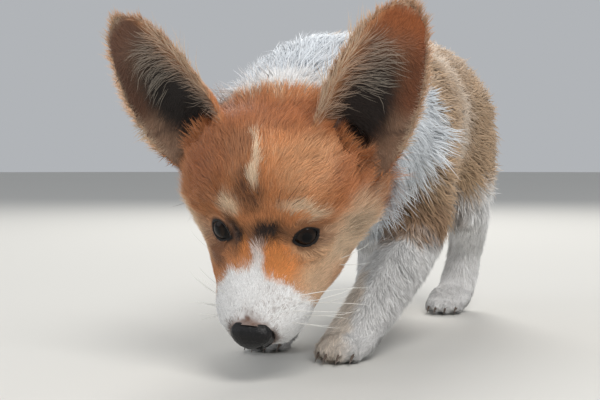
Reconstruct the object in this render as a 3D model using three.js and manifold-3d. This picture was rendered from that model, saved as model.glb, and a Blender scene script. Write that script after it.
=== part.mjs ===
// A young Pembroke Welsh corgi, life size, standing with its head lowered to sniff the ground.
// Millimetres, +Z up. The dog faces -Y and its left side is +X. The floor is z = 0.
//
// The whole coat outline is one smooth field: limbs of oval stations that flow into each other.
// Each named part is a tube of rings whose points lie on that field, parted from its
// neighbours by thin cuts.
import * as THREE from "three";
import { LoftGeometry } from "three/addons/geometries/LoftGeometry.js";
import { mergeVertices } from "three/addons/utils/BufferGeometryUtils.js";
import Module from "manifold-3d";

const wasm = await Module();
wasm.setup();

// Driving dimensions
const WITHERS_HEIGHT = 190;
const TORSO_LENGTH = 258;
const CHEST_WIDTH = 112;
const HEAD_LENGTH = 138;
const HEAD_WIDTH = 98;
const HEAD_HEIGHT = 84;
const EYE_SPACING = 42;
const EYE_RADIUS = 8.3;
const EAR_LENGTH = 68;
const EAR_WIDTH = 47;
const PAW_WIDTH = 32;
const TAIL_LENGTH = 38;
const MUZZLE_DRIFT = 1.6;
const GAP = 0.3;
const FOOT_FLAT = 1.2;
const LEG_FLOW = 16;

// Pose of the head: where the point between the eyes is, and how far the nose points down
const HEAD_PLACE = new THREE.Vector3(-1, -209, 78);
const HEAD_PITCH = 66;
const HEAD_TURN = 4;
const HEAD_TILT = 3;

const SIDE = new THREE.Vector3(1, 0, 0);
const DEGREE = Math.PI / 180;

const mix = THREE.MathUtils.lerp;
const vector = (x, y, z) => new THREE.Vector3(x, y, z);

// Limbs

// A limb follows a smooth centre line through stations. A station is
// [x, y, z, half width to the side, half size towards "up", half size away from it],
// where "up" is square to the way the limb runs and to its side axis.
class Limb {
  constructor(stations, endSizes) {
    const points = stations.map(([x, y, z]) => vector(x, y, z));
    this.curve = new THREE.CatmullRomCurve3(points, false, "centripetal");
    this.endSizes = endSizes;
    this.spans = stations.length - 1;
    this.stations = stations;
    const steps = this.spans * 6;
    this.samples = [];
    for (let i = 0; i <= steps; i++) this.samples.push(this.at(i / steps));
  }

  // Centre, directions and half sizes at a share t of the stations
  at(t) {
    const centre = this.curve.getPoint(t);
    const along = this.curve.getTangent(t);
    const up = vector().crossVectors(along, SIDE).normalize();
    const side = vector().crossVectors(up, along).normalize();
    const place = t * this.spans;
    const i = Math.min(this.spans - 1, Math.floor(place));
    const f = place - i;
    const before = this.stations[Math.max(0, i - 1)];
    const after = this.stations[Math.min(this.spans, i + 2)];
    const sizes = [3, 4, 5].map((k) =>
      smoothValue(before[k], this.stations[i][k], this.stations[i + 1][k], after[k], f),
    );
    return { centre, along, up, side, sizes };
  }

  // Signed distance, near enough, from a point to the limb's surface
  distance(p) {
    const list = this.samples;
    let best = Infinity;
    let index = 0;
    let share = 0;
    for (let i = 0; i + 1 < list.length; i++) {
      const a = list[i].centre;
      const b = list[i + 1].centre;
      const dx = b.x - a.x;
      const dy = b.y - a.y;
      const dz = b.z - a.z;
      let f = (p.x - a.x) * dx + (p.y - a.y) * dy + (p.z - a.z) * dz;
      f = Math.min(1, Math.max(0, f / (dx * dx + dy * dy + dz * dz)));
      const ex = p.x - a.x - f * dx;
      const ey = p.y - a.y - f * dy;
      const ez = p.z - a.z - f * dz;
      const d = ex * ex + ey * ey + ez * ez;
      if (d < best) {
        best = d;
        index = i;
        share = f;
      }
    }
    const a = list[index];
    const b = list[index + 1];
    const offset = vector(
      p.x - mix(a.centre.x, b.centre.x, share),
      p.y - mix(a.centre.y, b.centre.y, share),
      p.z - mix(a.centre.z, b.centre.z, share),
    );
    const s = offset.dot(a.side) * (1 - share) + offset.dot(b.side) * share;
    const u = offset.dot(a.up) * (1 - share) + offset.dot(b.up) * share;
    const t = offset.dot(a.along) * (1 - share) + offset.dot(b.along) * share;
    const half = a.sizes.map((size, k) => mix(size, b.sizes[k], share));
    const end = t < 0 ? this.endSizes[0] : this.endSizes[1];
    const length = Math.hypot(s, u, t);
    const ratio = Math.hypot(s / half[0], u / (u > 0 ? half[1] : half[2]), t / end);
    return ratio < 1e-6 ? -Math.min(...half) : length - length / ratio;
  }
}

// Catmull-Rom through four values
function smoothValue(a, b, c, d, f) {
  const m = (c - a) / 2;
  const n = (d - b) / 2;
  const f2 = f * f;
  const f3 = f2 * f;
  return (2 * f3 - 3 * f2 + 1) * b + (f3 - 2 * f2 + f) * m + (3 * f2 - 2 * f3) * c + (f3 - f2) * n;
}

// The lesser of two distances, rounded where they are within k of each other
function blend(a, b, k) {
  const h = Math.max(k - Math.abs(a - b), 0) / k;
  return Math.min(a, b) - (h * h * k) / 4;
}

// Distance, near enough, to an ellipsoid with its axes along x, y and z
function ellipsoid(p, centre, sizes) {
  const x = p.x - centre[0];
  const y = p.y - centre[1];
  const z = p.z - centre[2];
  const ratio = Math.hypot(x / sizes[0], y / sizes[1], z / sizes[2]);
  const length = Math.hypot(x, y, z);
  return ratio < 1e-6 ? -Math.min(...sizes) : length - length / ratio;
}

// A soft bump or, with a negative height, a hollow
function bump(p, centre, reach, height) {
  const d2 =
    ((p.x - centre[0]) / reach[0]) ** 2 +
    ((p.y - centre[1]) / reach[1]) ** 2 +
    ((p.z - centre[2]) / reach[2]) ** 2;
  return height * Math.exp(-d2);
}

// Torso and neck

const torsoStation = (along, centre, width, up, down) => [
  0,
  along * TORSO_LENGTH,
  centre * WITHERS_HEIGHT,
  (width * CHEST_WIDTH) / 2,
  up * WITHERS_HEIGHT,
  down * WITHERS_HEIGHT,
];

const torso = new Limb(
  [
    torsoStation(0.42, 0.77, 0.7, 0.225, 0.23),
    torsoStation(0.32, 0.755, 0.9, 0.275, 0.27),
    torsoStation(0.15, 0.735, 0.9, 0.28, 0.272),
    torsoStation(-0.02, 0.72, 0.96, 0.283, 0.29),
    torsoStation(-0.2, 0.715, 1.0, 0.282, 0.31),
    torsoStation(-0.33, 0.7, 0.92, 0.28, 0.29),
    torsoStation(-0.42, 0.67, 0.68, 0.22, 0.21),
  ],
  [22, 22],
);

const neck = new Limb(
  [
    [0, -50, 140, 50, 49, 46],
    [0, -88, 139, 52, 53, 46],
    [0, -124, 131, 51, 50, 44],
    [-1, -156, 118, 48, 45, 41],
    [-1, -176, 108, 43, 41, 37],
  ],
  [20, 16],
);

// Head, in its own frame: the origin is between the eyes, the nose points to -Y, the crown to +Z

const headStation = (along, centre, width, up, down) => [
  0,
  along * HEAD_LENGTH,
  centre * HEAD_HEIGHT,
  (width * HEAD_WIDTH) / 2,
  up * HEAD_HEIGHT,
  down * HEAD_HEIGHT,
];

const skull = new Limb(
  [
    headStation(0.46, -0.1, 0.7, 0.29, 0.3),
    headStation(0.35, -0.1, 0.95, 0.43, 0.42),
    headStation(0.24, -0.1, 1.0, 0.485, 0.44),
    headStation(0.12, -0.1, 0.94, 0.45, 0.43),
    headStation(0.05, -0.12, 0.82, 0.355, 0.4),
    headStation(-0.02, -0.15, 0.69, 0.27, 0.36),
    headStation(-0.09, -0.18, 0.57, 0.225, 0.3),
    headStation(-0.18, -0.2, 0.495, 0.19, 0.23),
    headStation(-0.27, -0.215, 0.46, 0.17, 0.2),
    headStation(-0.33, -0.225, 0.385, 0.15, 0.17),
  ],
  [14, 8],
);

// As it sniffs, the puppy carries the end of its muzzle a little to its right
const muzzleDrift = (y) => -MUZZLE_DRIFT * THREE.MathUtils.smoothstep(-y, 5, 50);

function headField(place) {
  const p = vector(place.x - muzzleDrift(place.y), place.y, place.z);
  const mirrored = vector(Math.abs(p.x), p.y, p.z);
  let d = skull.distance(p);
  // Cheeks, jaw, lips and chin
  d = blend(d, ellipsoid(mirrored, [27, 26, -22], [21, 27, 20]), 14);
  d = blend(d, ellipsoid(mirrored, [17, 0, -25], [18, 26, 15]), 12);
  d = blend(d, ellipsoid(mirrored, [11, -31, -24], [12, 17, 11]), 8);
  d = blend(d, ellipsoid(p, [0, -30, -34], [12, 15, 7]), 8);
  // Brow ridges, the groove between them, the hollow round each eye, and the stop
  d -= bump(mirrored, [17, 13, 17], [9, 8, 9], 2.4);
  d += bump(mirrored, [0, 6, 16], [6, 16, 14], 2);
  d += bump(mirrored, [15, -9, 2], [8, 7, 8], 2.2);
  return d;
}

const headMatrix = new THREE.Matrix4()
  .makeTranslation(HEAD_PLACE)
  .multiply(new THREE.Matrix4().makeRotationZ(HEAD_TURN * DEGREE))
  .multiply(new THREE.Matrix4().makeRotationY(HEAD_TILT * DEGREE))
  .multiply(new THREE.Matrix4().makeRotationX(HEAD_PITCH * DEGREE));
const headInverse = headMatrix.clone().invert();
const inHead = (p) => p.clone().applyMatrix4(headInverse);
const fromHead = (p) => p.clone().applyMatrix4(headMatrix);

// Legs, each from inside the torso down to the toes

const legStations = {
  leg_front_left: [
    [35, -58, 130, 20, 28, 28],
    [40, -60, 104, 19, 26, 27],
    [41, -63, 80, 18, 22, 27],
    [36, -80, 57, 17.5, 19, 22],
    [28, -104, 37, 16.5, 17, 17],
    [21, -120, 20, 15.5, 15, 14],
    [17, -131, 11.5, 16.5, 10.5, 11],
    [15, -141, 9.5, 14, 8.5, 9.5],
  ],
  leg_front_right: [
    [-35, -58, 130, 20, 28, 28],
    [-41, -58, 104, 19, 26, 27],
    [-44, -58, 80, 18, 22, 26],
    [-43, -68, 57, 17.5, 19, 21],
    [-40, -86, 37, 16.5, 17, 17],
    [-38, -99, 20, 15.5, 15, 14],
    [-37, -108, 11.5, 16.5, 10.5, 11],
    [-36, -118, 9.5, 14, 8.5, 9.5],
  ],
  leg_hind_left: [
    [30, 82, 142, 25, 36, 36],
    [36, 78, 114, 22, 38, 40],
    [38, 79, 90, 18.5, 29, 32],
    [35, 97, 66, 15.5, 19, 18],
    [31, 110, 47, 14, 15, 14],
    [28, 106, 28, 13.5, 13.5, 12.5],
    [26, 98, 15, 14, 12, 11],
    [24, 87, 11, 16, 10.5, 10.5],
    [23, 77, 9.5, 13.5, 8.5, 9.5],
  ],
  leg_hind_right: [
    [-30, 80, 142, 25, 36, 36],
    [-37, 72, 114, 22, 38, 40],
    [-40, 66, 90, 18.5, 29, 32],
    [-38, 80, 66, 15.5, 19, 18],
    [-35, 93, 47, 14, 15, 14],
    [-33, 88, 28, 13.5, 13.5, 12.5],
    [-32, 79, 15, 14, 12, 11],
    [-31, 67, 11, 16, 10.5, 10.5],
    [-31, 57, 9.5, 13.5, 8.5, 9.5],
  ],
};

const legs = {};
for (const name in legStations) legs[name] = new Limb(legStations[name], [16, 6]);

// Torso, neck and head flow together, and each leg flows into them
function body(p) {
  const d = blend(torso.distance(p), neck.distance(p), 22);
  return blend(d, headField(inHead(p)), 16);
}

function coat(p) {
  const trunk = body(p);
  return Math.min(...Object.values(legs).map((leg) => blend(trunk, leg.distance(p), LEG_FLOW)));
}

// The trunk alone, with only the start of each leg's flow
const trunkCoat = (p) => Math.max(coat(p), body(p) - LEG_FLOW / 3);

// Solids

function solidOf(geometry) {
  const plain = new THREE.BufferGeometry();
  plain.setAttribute("position", geometry.getAttribute("position"));
  plain.setIndex(geometry.index);
  const merged = mergeVertices(plain, 1e-4);
  const place = merged.attributes.position;
  const faces = [];
  let volume = 0;
  const a = vector();
  const b = vector();
  const c = vector();
  for (let i = 0; i < merged.index.count; i += 3) {
    const [p, q, r] = [0, 1, 2].map((k) => merged.index.getX(i + k));
    if (p === q || q === r || r === p) continue;
    faces.push(p, q, r);
    volume += a.fromBufferAttribute(place, p)
      .dot(b.fromBufferAttribute(place, q).cross(c.fromBufferAttribute(place, r)));
  }
  if (volume < 0) faces.reverse();
  return new wasm.Manifold(
    new wasm.Mesh({
      numProp: 3,
      vertProperties: new Float32Array(place.array),
      triVerts: new Uint32Array(faces),
    }),
  );
}

// How far a ray from a centre goes before it leaves the field
function reach(field, centre, direction, level) {
  const step = 2.5;
  const p = vector();
  let near = 0;
  let far = step;
  while (field(p.copy(centre).addScaledVector(direction, far)) < level && far < 220) {
    near = far;
    far += step;
  }
  for (let i = 0; i < 14; i++) {
    const middle = (near + far) / 2;
    if (field(p.copy(centre).addScaledVector(direction, middle)) < level) near = middle;
    else far = middle;
  }
  return (near + far) / 2;
}

// Rings round a limb's centre line, out to where a field ends, closed by a fan at each end
function wrap(limb, field, { rings, segments, ends = 4, level = 0, matrix = null }) {
  const rows = [];
  for (let i = ends; i > 0; i--) rows.push([0, (-i / ends) * 90]);
  for (let i = 0; i <= rings; i++) rows.push([i / rings, 0]);
  for (let i = 1; i <= ends; i++) rows.push([1, (i / ends) * 90]);
  const sections = rows.map(([t, tilt]) => {
    const { centre, along, up, side, sizes } = limb.at(t);
    const points = [];
    if (Math.abs(tilt) === 90) {
      // The end of the fan is one point, shared by the whole ring
      const direction = along.clone().multiplyScalar(Math.sign(tilt));
      const tip = centre.clone().addScaledVector(direction, reach(field, centre, direction, level));
      return Array(segments).fill(tip);
    }
    for (let j = 0; j < segments; j++) {
      const turn = (j / segments) * 2 * Math.PI;
      const direction = vector()
        .addScaledVector(side, Math.cos(turn) * sizes[0])
        .addScaledVector(up, Math.sin(turn) * (Math.sin(turn) > 0 ? sizes[1] : sizes[2]))
        .normalize()
        .multiplyScalar(Math.cos(tilt * DEGREE))
        .addScaledVector(along, Math.sin(tilt * DEGREE));
      const length = reach(field, centre, direction, level);
      points.push(centre.clone().addScaledVector(direction, length));
    }
    return points;
  });
  const geometry = new LoftGeometry(sections);
  if (matrix) geometry.applyMatrix4(matrix);
  return solidOf(geometry);
}

// Everything on the far side of a plane, within a wide box
function beyond(point, normal, offset) {
  const size = 400;
  const box = new THREE.BoxGeometry(size, size, size);
  box.translate(0, 0, size / 2);
  const turn = new THREE.Quaternion().setFromUnitVectors(vector(0, 0, 1), normal);
  box.applyQuaternion(turn);
  const p = point.clone().addScaledVector(normal, offset);
  box.translate(p.x, p.y, p.z);
  return solidOf(box);
}

// The largest closed body of a solid, with sealed hollows filled
function largest(solid) {
  const bodies = solid.decompose();
  return bodies.sort((a, b) => b.volume() - a.volume())[0];
}

function ball(centre, sizes, detail = 12, quaternion = null) {
  const sphere = new THREE.SphereGeometry(1, detail, Math.round(detail * 0.7));
  sphere.scale(sizes[0], sizes[1], sizes[2]);
  if (quaternion) sphere.applyQuaternion(quaternion);
  sphere.translate(centre.x, centre.y, centre.z);
  return solidOf(sphere);
}

// Both ends of a run of sections brought together in one middle point each
function closed(sections) {
  const pole = (section) => {
    const middle = vector();
    for (const p of section) middle.addScaledVector(p, 1 / section.length);
    return section.map(() => middle.clone());
  };
  return [pole(sections[0]), ...sections, pole(sections[sections.length - 1])];
}

// The way a field grows fastest at a point
function gradient(field, p) {
  const e = 0.5;
  const d = (x, y, z) => field(vector(p.x + x, p.y + y, p.z + z)) - field(vector(p.x - x, p.y - y, p.z - z));
  return vector(d(e, 0, 0), d(0, e, 0), d(0, 0, e)).normalize();
}

function onLevel(field, p, level) {
  const q = p.clone();
  for (let i = 0; i < 3; i++) q.addScaledVector(gradient(field, q), level - field(q));
  return q;
}

let seed = 20;
function random(low, high) {
  seed = (seed * 16807) % 2147483647;
  return mix(low, high, seed / 2147483647);
}

// One flat lock of coat, [share of its length, share of its width, share of its rise]. It grows
// from inside the core, bends over and lies along the coat with its tip on the outline
const LOCK_PROFILE = [[0, 0.7, -0.5], [0.34, 1, 0.5], [0.7, 0.76, 0.92], [1, 0, 1.12]];

function lock(field, root, lie, { length, width, thick, core }) {
  const bend = random(-0.22, 0.22);
  const rise = random(0.86, 1);
  const rows = [];
  let place = root.clone();
  let before = 0;
  for (const [share, , up] of LOCK_PROFILE) {
    const normal = gradient(field, place);
    const across = vector().crossVectors(normal, lie).normalize();
    const along = vector().crossVectors(across, normal).addScaledVector(across, bend * share * 2).normalize();
    place = place.clone().addScaledVector(along, (share - before) * length);
    place = onLevel(field, place, -core + up * core * rise);
    before = share;
    rows.push(place);
  }
  const sections = rows.slice(0, -1).map((centre, i) => {
    const normal = gradient(field, centre);
    const along = rows[i + 1].clone().sub(rows[Math.max(0, i - 1)]).normalize();
    const across = vector().crossVectors(normal, along).normalize();
    const out = vector().crossVectors(along, across);
    const half = (LOCK_PROFILE[i][1] * width) / 2;
    const deep = (thick / 2) * (i === 2 ? 0.75 : 1);
    return [
      centre.clone().addScaledVector(across, half),
      centre.clone().addScaledVector(out, deep),
      centre.clone().addScaledVector(across, -half),
      centre.clone().addScaledVector(out, -deep),
    ];
  });
  const tip = rows[rows.length - 1];
  return solidOf(new LoftGeometry(closed([...sections, Array(4).fill(tip)])));
}

// Cuts between the trunk's parts
const NAPE_POINT = fromHead(vector(0, 44, -22));
const NAPE_NORMAL = fromHead(vector(0, 44 + 0.63, -22 - 0.77)).sub(NAPE_POINT).normalize();
const COLLAR_POINT = vector(0, -98, 140);
const COLLAR_NORMAL = vector(0, -0.86, -0.42).normalize();

// Head

const LID_THICKNESS = 1.5;
const EYE_SLIT = { width: 14, height: 10.6 };
const EYE_SLIT_TURN = 24;

const eyeGaze = (side) => vector(side * 0.4, -0.62, 0.67).normalize();

// The eyeball sits where the coat is one lid's thickness in front of it
function eyePlace(side) {
  const gaze = eyeGaze(side);
  const from = vector(side * (EYE_SPACING / 2 - 6.5), 7, -9);
  const depth = reach(headField, from, gaze, 0) - EYE_RADIUS - 0.6;
  return from.addScaledVector(gaze, depth);
}

// The almond-shaped opening between the lids, as a prism along the gaze
function eyeSlit(side) {
  const { width, height } = EYE_SLIT;
  const shape = new THREE.Shape();
  shape.moveTo(-width / 2, 0);
  shape.bezierCurveTo(-width * 0.3, height * 0.62, width * 0.22, height * 0.66, width / 2, 0.6);
  shape.bezierCurveTo(width * 0.25, -height * 0.6, -width * 0.2, -height * 0.6, -width / 2, 0);
  const prism = new THREE.ExtrudeGeometry(shape, {
    depth: 24, bevelEnabled: false, curveSegments: 6,
  });
  if (side < 0) prism.scale(-1, 1, 1);
  prism.rotateZ(side * EYE_SLIT_TURN * DEGREE);
  // The prism's own axes: x across the eye away from the nose, y towards the brow, z the gaze
  const gaze = eyeGaze(side);
  const brow = vector(0, 0.75, 0.66).addScaledVector(gaze, -vector(0, 0.75, 0.66).dot(gaze)).normalize();
  const across = vector().crossVectors(brow, gaze);
  const place = eyePlace(side);
  prism.applyMatrix4(new THREE.Matrix4().makeBasis(across, brow, gaze).setPosition(place));
  prism.applyMatrix4(headMatrix);
  return solidOf(prism);
}

// A tube of constant radius along points in the head's frame that are moved onto its coat
function lipGroove(side) {
  const route = [
    [0.5, -60, -25],
    [7, -56, -28],
    [14, -48, -31],
    [20, -38, -31.5],
    [24, -26, -31],
    [28, -12, -31],
    [32, -2, -32],
  ].map(([x, y, z]) => {
    const from = vector(0, Math.max(y, -34), z * 0.75);
    const direction = vector(side * x, y, z).sub(from).normalize();
    return from.addScaledVector(direction, reach(headField, from, direction, -0.3));
  });
  const path = new THREE.CatmullRomCurve3(route);
  const section = new THREE.Shape();
  const radius = 1.1;
  section.absarc(0, 0, radius, 0, 2 * Math.PI);
  const tube = new THREE.ExtrudeGeometry(section, {
    steps: 16, curveSegments: 3, extrudePath: path, bevelEnabled: false,
  });
  tube.applyMatrix4(headMatrix);
  return solidOf(tube);
}

const earPlace = (side) => (side > 0 ? vector(40, 47, 11) : vector(-46, 50, 11));
const EAR_AXES = {
  1: vector(0.36, 0.85, 0.39).normalize(),
  [-1]: vector(-0.7, 0.67, 0.3).normalize(),
};
const EAR_HALF_WIDTHS = [
  [-0.27, 0.7], [-0.13, 0.88], [0, 0.97], [0.15, 1], [0.3, 0.99], [0.45, 0.94],
  [0.6, 0.85], [0.72, 0.75], [0.82, 0.63], [0.89, 0.51], [0.94, 0.39], [0.975, 0.26], [1, 0.1],
];

// A leaf curled into a cup: wide and deep at the base, shallow at the round tip
function buildEar(side) {
  const axis = EAR_AXES[side];
  const face = vector(side * 0.42, -0.37, 0.83);
  face.addScaledVector(axis, -face.dot(axis)).normalize();
  const across = vector().crossVectors(axis, face).multiplyScalar(side);
  const columns = 9;
  const sections = EAR_HALF_WIDTHS.map(([u, width]) => {
    const half = (EAR_WIDTH / 2) * width;
    const rise = Math.max(0, u);
    const depth = mix(21, 3, Math.min(1, Math.max(0, u + 0.1) * 1.15)) * Math.min(1, half / 11);
    const thick = mix(4.6, 2, rise);
    const centre = earPlace(side)
      .addScaledVector(axis, u * EAR_LENGTH)
      .addScaledVector(face, -4 * rise * rise);
    // v runs from -1, the edge near the crown, to 1, the outer edge
    const place = (v, offset) => {
      const turn = v * mix(1.35, 0.6, Math.min(1, rise * 1.4));
      const curl = depth * (Math.cos(turn) - Math.cos(mix(1.35, 0.6, Math.min(1, rise * 1.4))));
      const reachOut = (half * Math.sin(turn)) / Math.sin(mix(1.35, 0.6, Math.min(1, rise * 1.4)));
      return centre.clone().addScaledVector(across, reachOut).addScaledVector(face, depth * 0.4 - curl - offset);
    };
    const points = [];
    for (const face of [1, -1]) {
      for (let j = 0; j <= columns; j++) {
        const v = (-1 + (2 * j) / columns) * face;
        points.push(place(v, (face * thick * Math.sqrt(Math.max(0.1, 1 - v ** 4))) / 2));
      }
    }
    return points;
  });
  const geometry = new LoftGeometry(closed(sections));
  geometry.applyMatrix4(headMatrix);
  return solidOf(geometry);
}

// The hollow that goes down into the head inside the ear's cup
function earHollow(side) {
  const axis = EAR_AXES[side];
  const place = earPlace(side).addScaledVector(vector(side * 0.2, -0.3, 0.9), -0.5);
  const turn = new THREE.Quaternion().setFromUnitVectors(vector(0, 1, 0), axis);
  return ball(place, [10, 18, 8.5], 14, turn).transform(headMatrix.elements);
}

const headCoat = (p) => body(fromHead(p));
const headWrap = (level, rings, segments) =>
  wrap(skull, headCoat, { rings, segments, level, matrix: headMatrix });

const eyeballs = {};
const ears = {};
let head = headWrap(0, 30, 30);
head = head.subtract(beyond(NAPE_POINT, NAPE_NORMAL, -GAP / 2));
const headWithGap = headWrap(GAP, 30, 30);

for (const [name, side] of [["left", 1], ["right", -1]]) {
  const centre = fromHead(eyePlace(side));
  const sphere = (radius, detail) => ball(centre, [radius, radius, radius], detail);
  eyeballs[`eye_${name}`] = sphere(EYE_RADIUS, 14);
  head = head.add(sphere(EYE_RADIUS + LID_THICKNESS, 16));
  head = head.subtract(eyeSlit(side)).subtract(sphere(EYE_RADIUS + GAP, 14));
  head = head.subtract(lipGroove(side));
  ears[`ear_${name}`] = buildEar(side).subtract(headWithGap);
  head = head.subtract(earHollow(side));
}

// Nose leather, with a nostril on each side

const NOSE_PLACE = vector(-MUZZLE_DRIFT, -51, -12.5);
const NOSE_SIZES = [10.6, 7.4, 8.6];

function buildNose() {
  let nose = ball(NOSE_PLACE, NOSE_SIZES, 16);
  for (const side of [-1, 1]) {
    const turn = new THREE.Quaternion().setFromEuler(new THREE.Euler(0, side * 0.6, side * 0.5));
    const nostril = vector(side * 4.6 - MUZZLE_DRIFT, -57.5, -13.2);
    const slit = vector(side * 8 - MUZZLE_DRIFT, -55, -14.6);
    nose = nose.subtract(ball(nostril, [1.7, 3.6, 2.5], 8, turn));
    nose = nose.subtract(ball(slit, [2.6, 3, 0.9], 8, turn));
  }
  return nose.transform(headMatrix.elements);
}

const noseWithGap = ball(NOSE_PLACE, NOSE_SIZES.map((x) => x + GAP), 20).transform(headMatrix.elements);
const nose = buildNose();
head = head.subtract(noseWithGap);

// Cells. Each leg takes an arch-topped cell out of the trunk and is the coat's shape inside it

const ELBOW_HEIGHT = 62;
const CELLS = {
  front: { y: -64, z: 104, radius: 40, inner: 17, front: 14, back: 4, low: [-180, -16] },
  hind: { y: 80, z: 112, radius: 49, inner: 15, front: 0, back: 8, low: [8, 150] },
};

function cellSolid(side, { y, z, radius, inner, front, back, low }, gap) {
  const r = radius + gap;
  const outline = new THREE.Shape();
  outline.moveTo(y + r + back, ELBOW_HEIGHT - 30);
  outline.lineTo(y + r, z);
  outline.absarc(y, z, r, 0, Math.PI, false);
  outline.lineTo(y - r - front, ELBOW_HEIGHT - 30);
  const prism = new THREE.ExtrudeGeometry(outline, {
    depth: 70, bevelEnabled: false, curveSegments: 18,
  });
  const start = side > 0 ? inner - gap : -inner + gap - 70;
  prism.applyMatrix4(new THREE.Matrix4().makeBasis(vector(0, 1, 0), vector(0, 0, 1), vector(1, 0, 0)));
  prism.translate(start, 0, 0);
  const box = new THREE.BoxGeometry(86, low[1] - low[0] + 2 * gap, ELBOW_HEIGHT + 20 + gap);
  box.translate(side * (44 - gap), (low[0] + low[1]) / 2, (ELBOW_HEIGHT - 20 + gap) / 2);
  return solidOf(prism).add(solidOf(box));
}

// Distance from a leg's cell, above the elbow
function cellDistance(p, side, { y, z, radius, inner, front, back }) {
  const widen = Math.max(0, z - p.z) / (z - ELBOW_HEIGHT + 30);
  const edge = p.y < y ? y - radius - front * widen - p.y : p.y - y - radius - back * widen;
  const round = p.z > z ? Math.hypot(p.y - y, p.z - z) - radius : edge;
  return Math.max(round, inner - side * p.x);
}

// Neck, with the ruff's locks over a core

const RUFF_CORE = 7.5;
const RUFF_LOCK = { length: 31, width: 21, thick: 4.4, core: RUFF_CORE };
const RUFF_ROWS = 6;
const RUFF_LOCKS_IN_ROW = 14;

// How far a point is inside the neck's stretch: behind the head, before the torso, off the legs
function insideNeck(p) {
  const behindNape = NAPE_NORMAL.dot(p.clone().sub(NAPE_POINT));
  const beforeCollar = COLLAR_NORMAL.dot(p.clone().sub(COLLAR_POINT));
  const offLegs = Math.min(cellDistance(p, 1, CELLS.front), cellDistance(p, -1, CELLS.front));
  return { behindNape, room: Math.min(beforeCollar, offLegs) };
}

// The core rises to the outline where the neck meets its neighbours
function neckCore(p) {
  const { behindNape, room } = insideNeck(p);
  return trunkCoat(p) + RUFF_CORE * THREE.MathUtils.smoothstep(Math.min(behindNape, room), 0.5, 11);
}

let neckSolid = wrap(neck, neckCore, { rings: 15, segments: 24 });
for (let i = 0; i < RUFF_ROWS; i++) {
  for (let j = 0; j < RUFF_LOCKS_IN_ROW; j++) {
    const t = mix(1, 0.28, (i + random(-0.2, 0.2)) / (RUFF_ROWS - 1));
    const { centre, along, up, side } = neck.at(Math.min(1, Math.max(0, t)));
    const turn = ((j + (i % 2) / 2 + random(-0.15, 0.15)) / RUFF_LOCKS_IN_ROW) * 2 * Math.PI;
    const direction = vector().addScaledVector(side, Math.cos(turn)).addScaledVector(up, Math.sin(turn));
    const root = centre.clone().addScaledVector(direction, reach(body, centre, direction, -RUFF_CORE));
    const lie = along.clone().negate().add(vector(0, 0, -0.45 * (1 - Math.sin(turn)))).normalize();
    const { behindNape, room } = insideNeck(root);
    const length = Math.min(RUFF_LOCK.length * random(0.85, 1.1), room + 2);
    if (behindNape < 0 || length < 13) continue;
    neckSolid = neckSolid.add(lock(body, root, lie, { ...RUFF_LOCK, length }));
  }
}
neckSolid = neckSolid
  .subtract(beyond(NAPE_POINT, NAPE_NORMAL.clone().negate(), -GAP / 2))
  .subtract(beyond(COLLAR_POINT, COLLAR_NORMAL.clone().negate(), -GAP / 2));

// Torso

const trunk = wrap(torso, (p) => Math.max(trunkCoat(p), -128 - p.y), { rings: 15, segments: 26 });
let torsoSolid = trunk.subtract(beyond(COLLAR_POINT, COLLAR_NORMAL, -GAP / 2));

// Tail

const tail = new Limb(
  [
    [0, 100, 167, 15, 15, 15],
    [0, 117, 167, 14.5, 14, 14],
    [0, 93 + TAIL_LENGTH, 160, 13, 12.5, 12.5],
    [0, 101 + TAIL_LENGTH, 150, 11, 11, 11],
    [0, 103 + TAIL_LENGTH, 142, 8, 8, 8],
  ],
  [6, 4],
);
const torsoWithGap = wrap(torso, body, { rings: 15, segments: 26, level: GAP });
const tailSolid = wrap(tail, (p) => tail.distance(p), { rings: 8, segments: 12, ends: 3 })
  .subtract(torsoWithGap);

// Legs

const floor = beyond(vector(0, 0, FOOT_FLAT), vector(0, 0, -1), 0);

function toes(name) {
  const stations = legStations[name];
  const [x, y] = stations[stations.length - 1];
  const side = name.endsWith("left") ? 1 : -1;
  const list = [];
  const width = PAW_WIDTH / 2;
  for (const [across, forward, size] of [[-0.62, -1, 1], [-0.24, -6, 1.08], [0.2, -6, 1.08], [0.6, -1.5, 1]]) {
    const centre = vector(x + across * width * side, y + forward + 1, 7.4);
    list.push(ball(centre, [4.9 * size, 8.6 * size, 6.6 * size], 8));
    const claw = new THREE.ConeGeometry(1.5, 7, 5);
    claw.rotateX(Math.PI / 2 + 0.5 + Math.PI);
    claw.translate(centre.x, centre.y - 9.6 * size, 5.2);
    list.push(solidOf(claw));
  }
  return list;
}

const legSolids = {};
for (const name in legs) {
  const side = name.endsWith("left") ? 1 : -1;
  const cell = CELLS[name.split("_")[1]];
  const field = (p) => {
    const own = legs[name].distance(p);
    return Math.max(blend(body(p), own, LEG_FLOW), own - 10);
  };
  let leg = wrap(legs[name], field, { rings: 14, segments: 12 }).add(trunk);
  for (const toe of toes(name)) leg = leg.add(toe);
  legSolids[name] = leg.intersect(cellSolid(side, cell, 0)).subtract(floor);
  const hollow = cellSolid(side, cell, GAP);
  torsoSolid = torsoSolid.subtract(hollow);
  neckSolid = neckSolid.subtract(hollow);
}

// The group

const paint = (color, roughness) => new THREE.MeshStandardMaterial({ color, roughness, metalness: 0 });
const RED = paint(0xb87c4c, 0.9);
const WHITE = paint(0xd9d9d4, 0.9);
const BLACK = paint(0x171513, 0.4);

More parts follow.
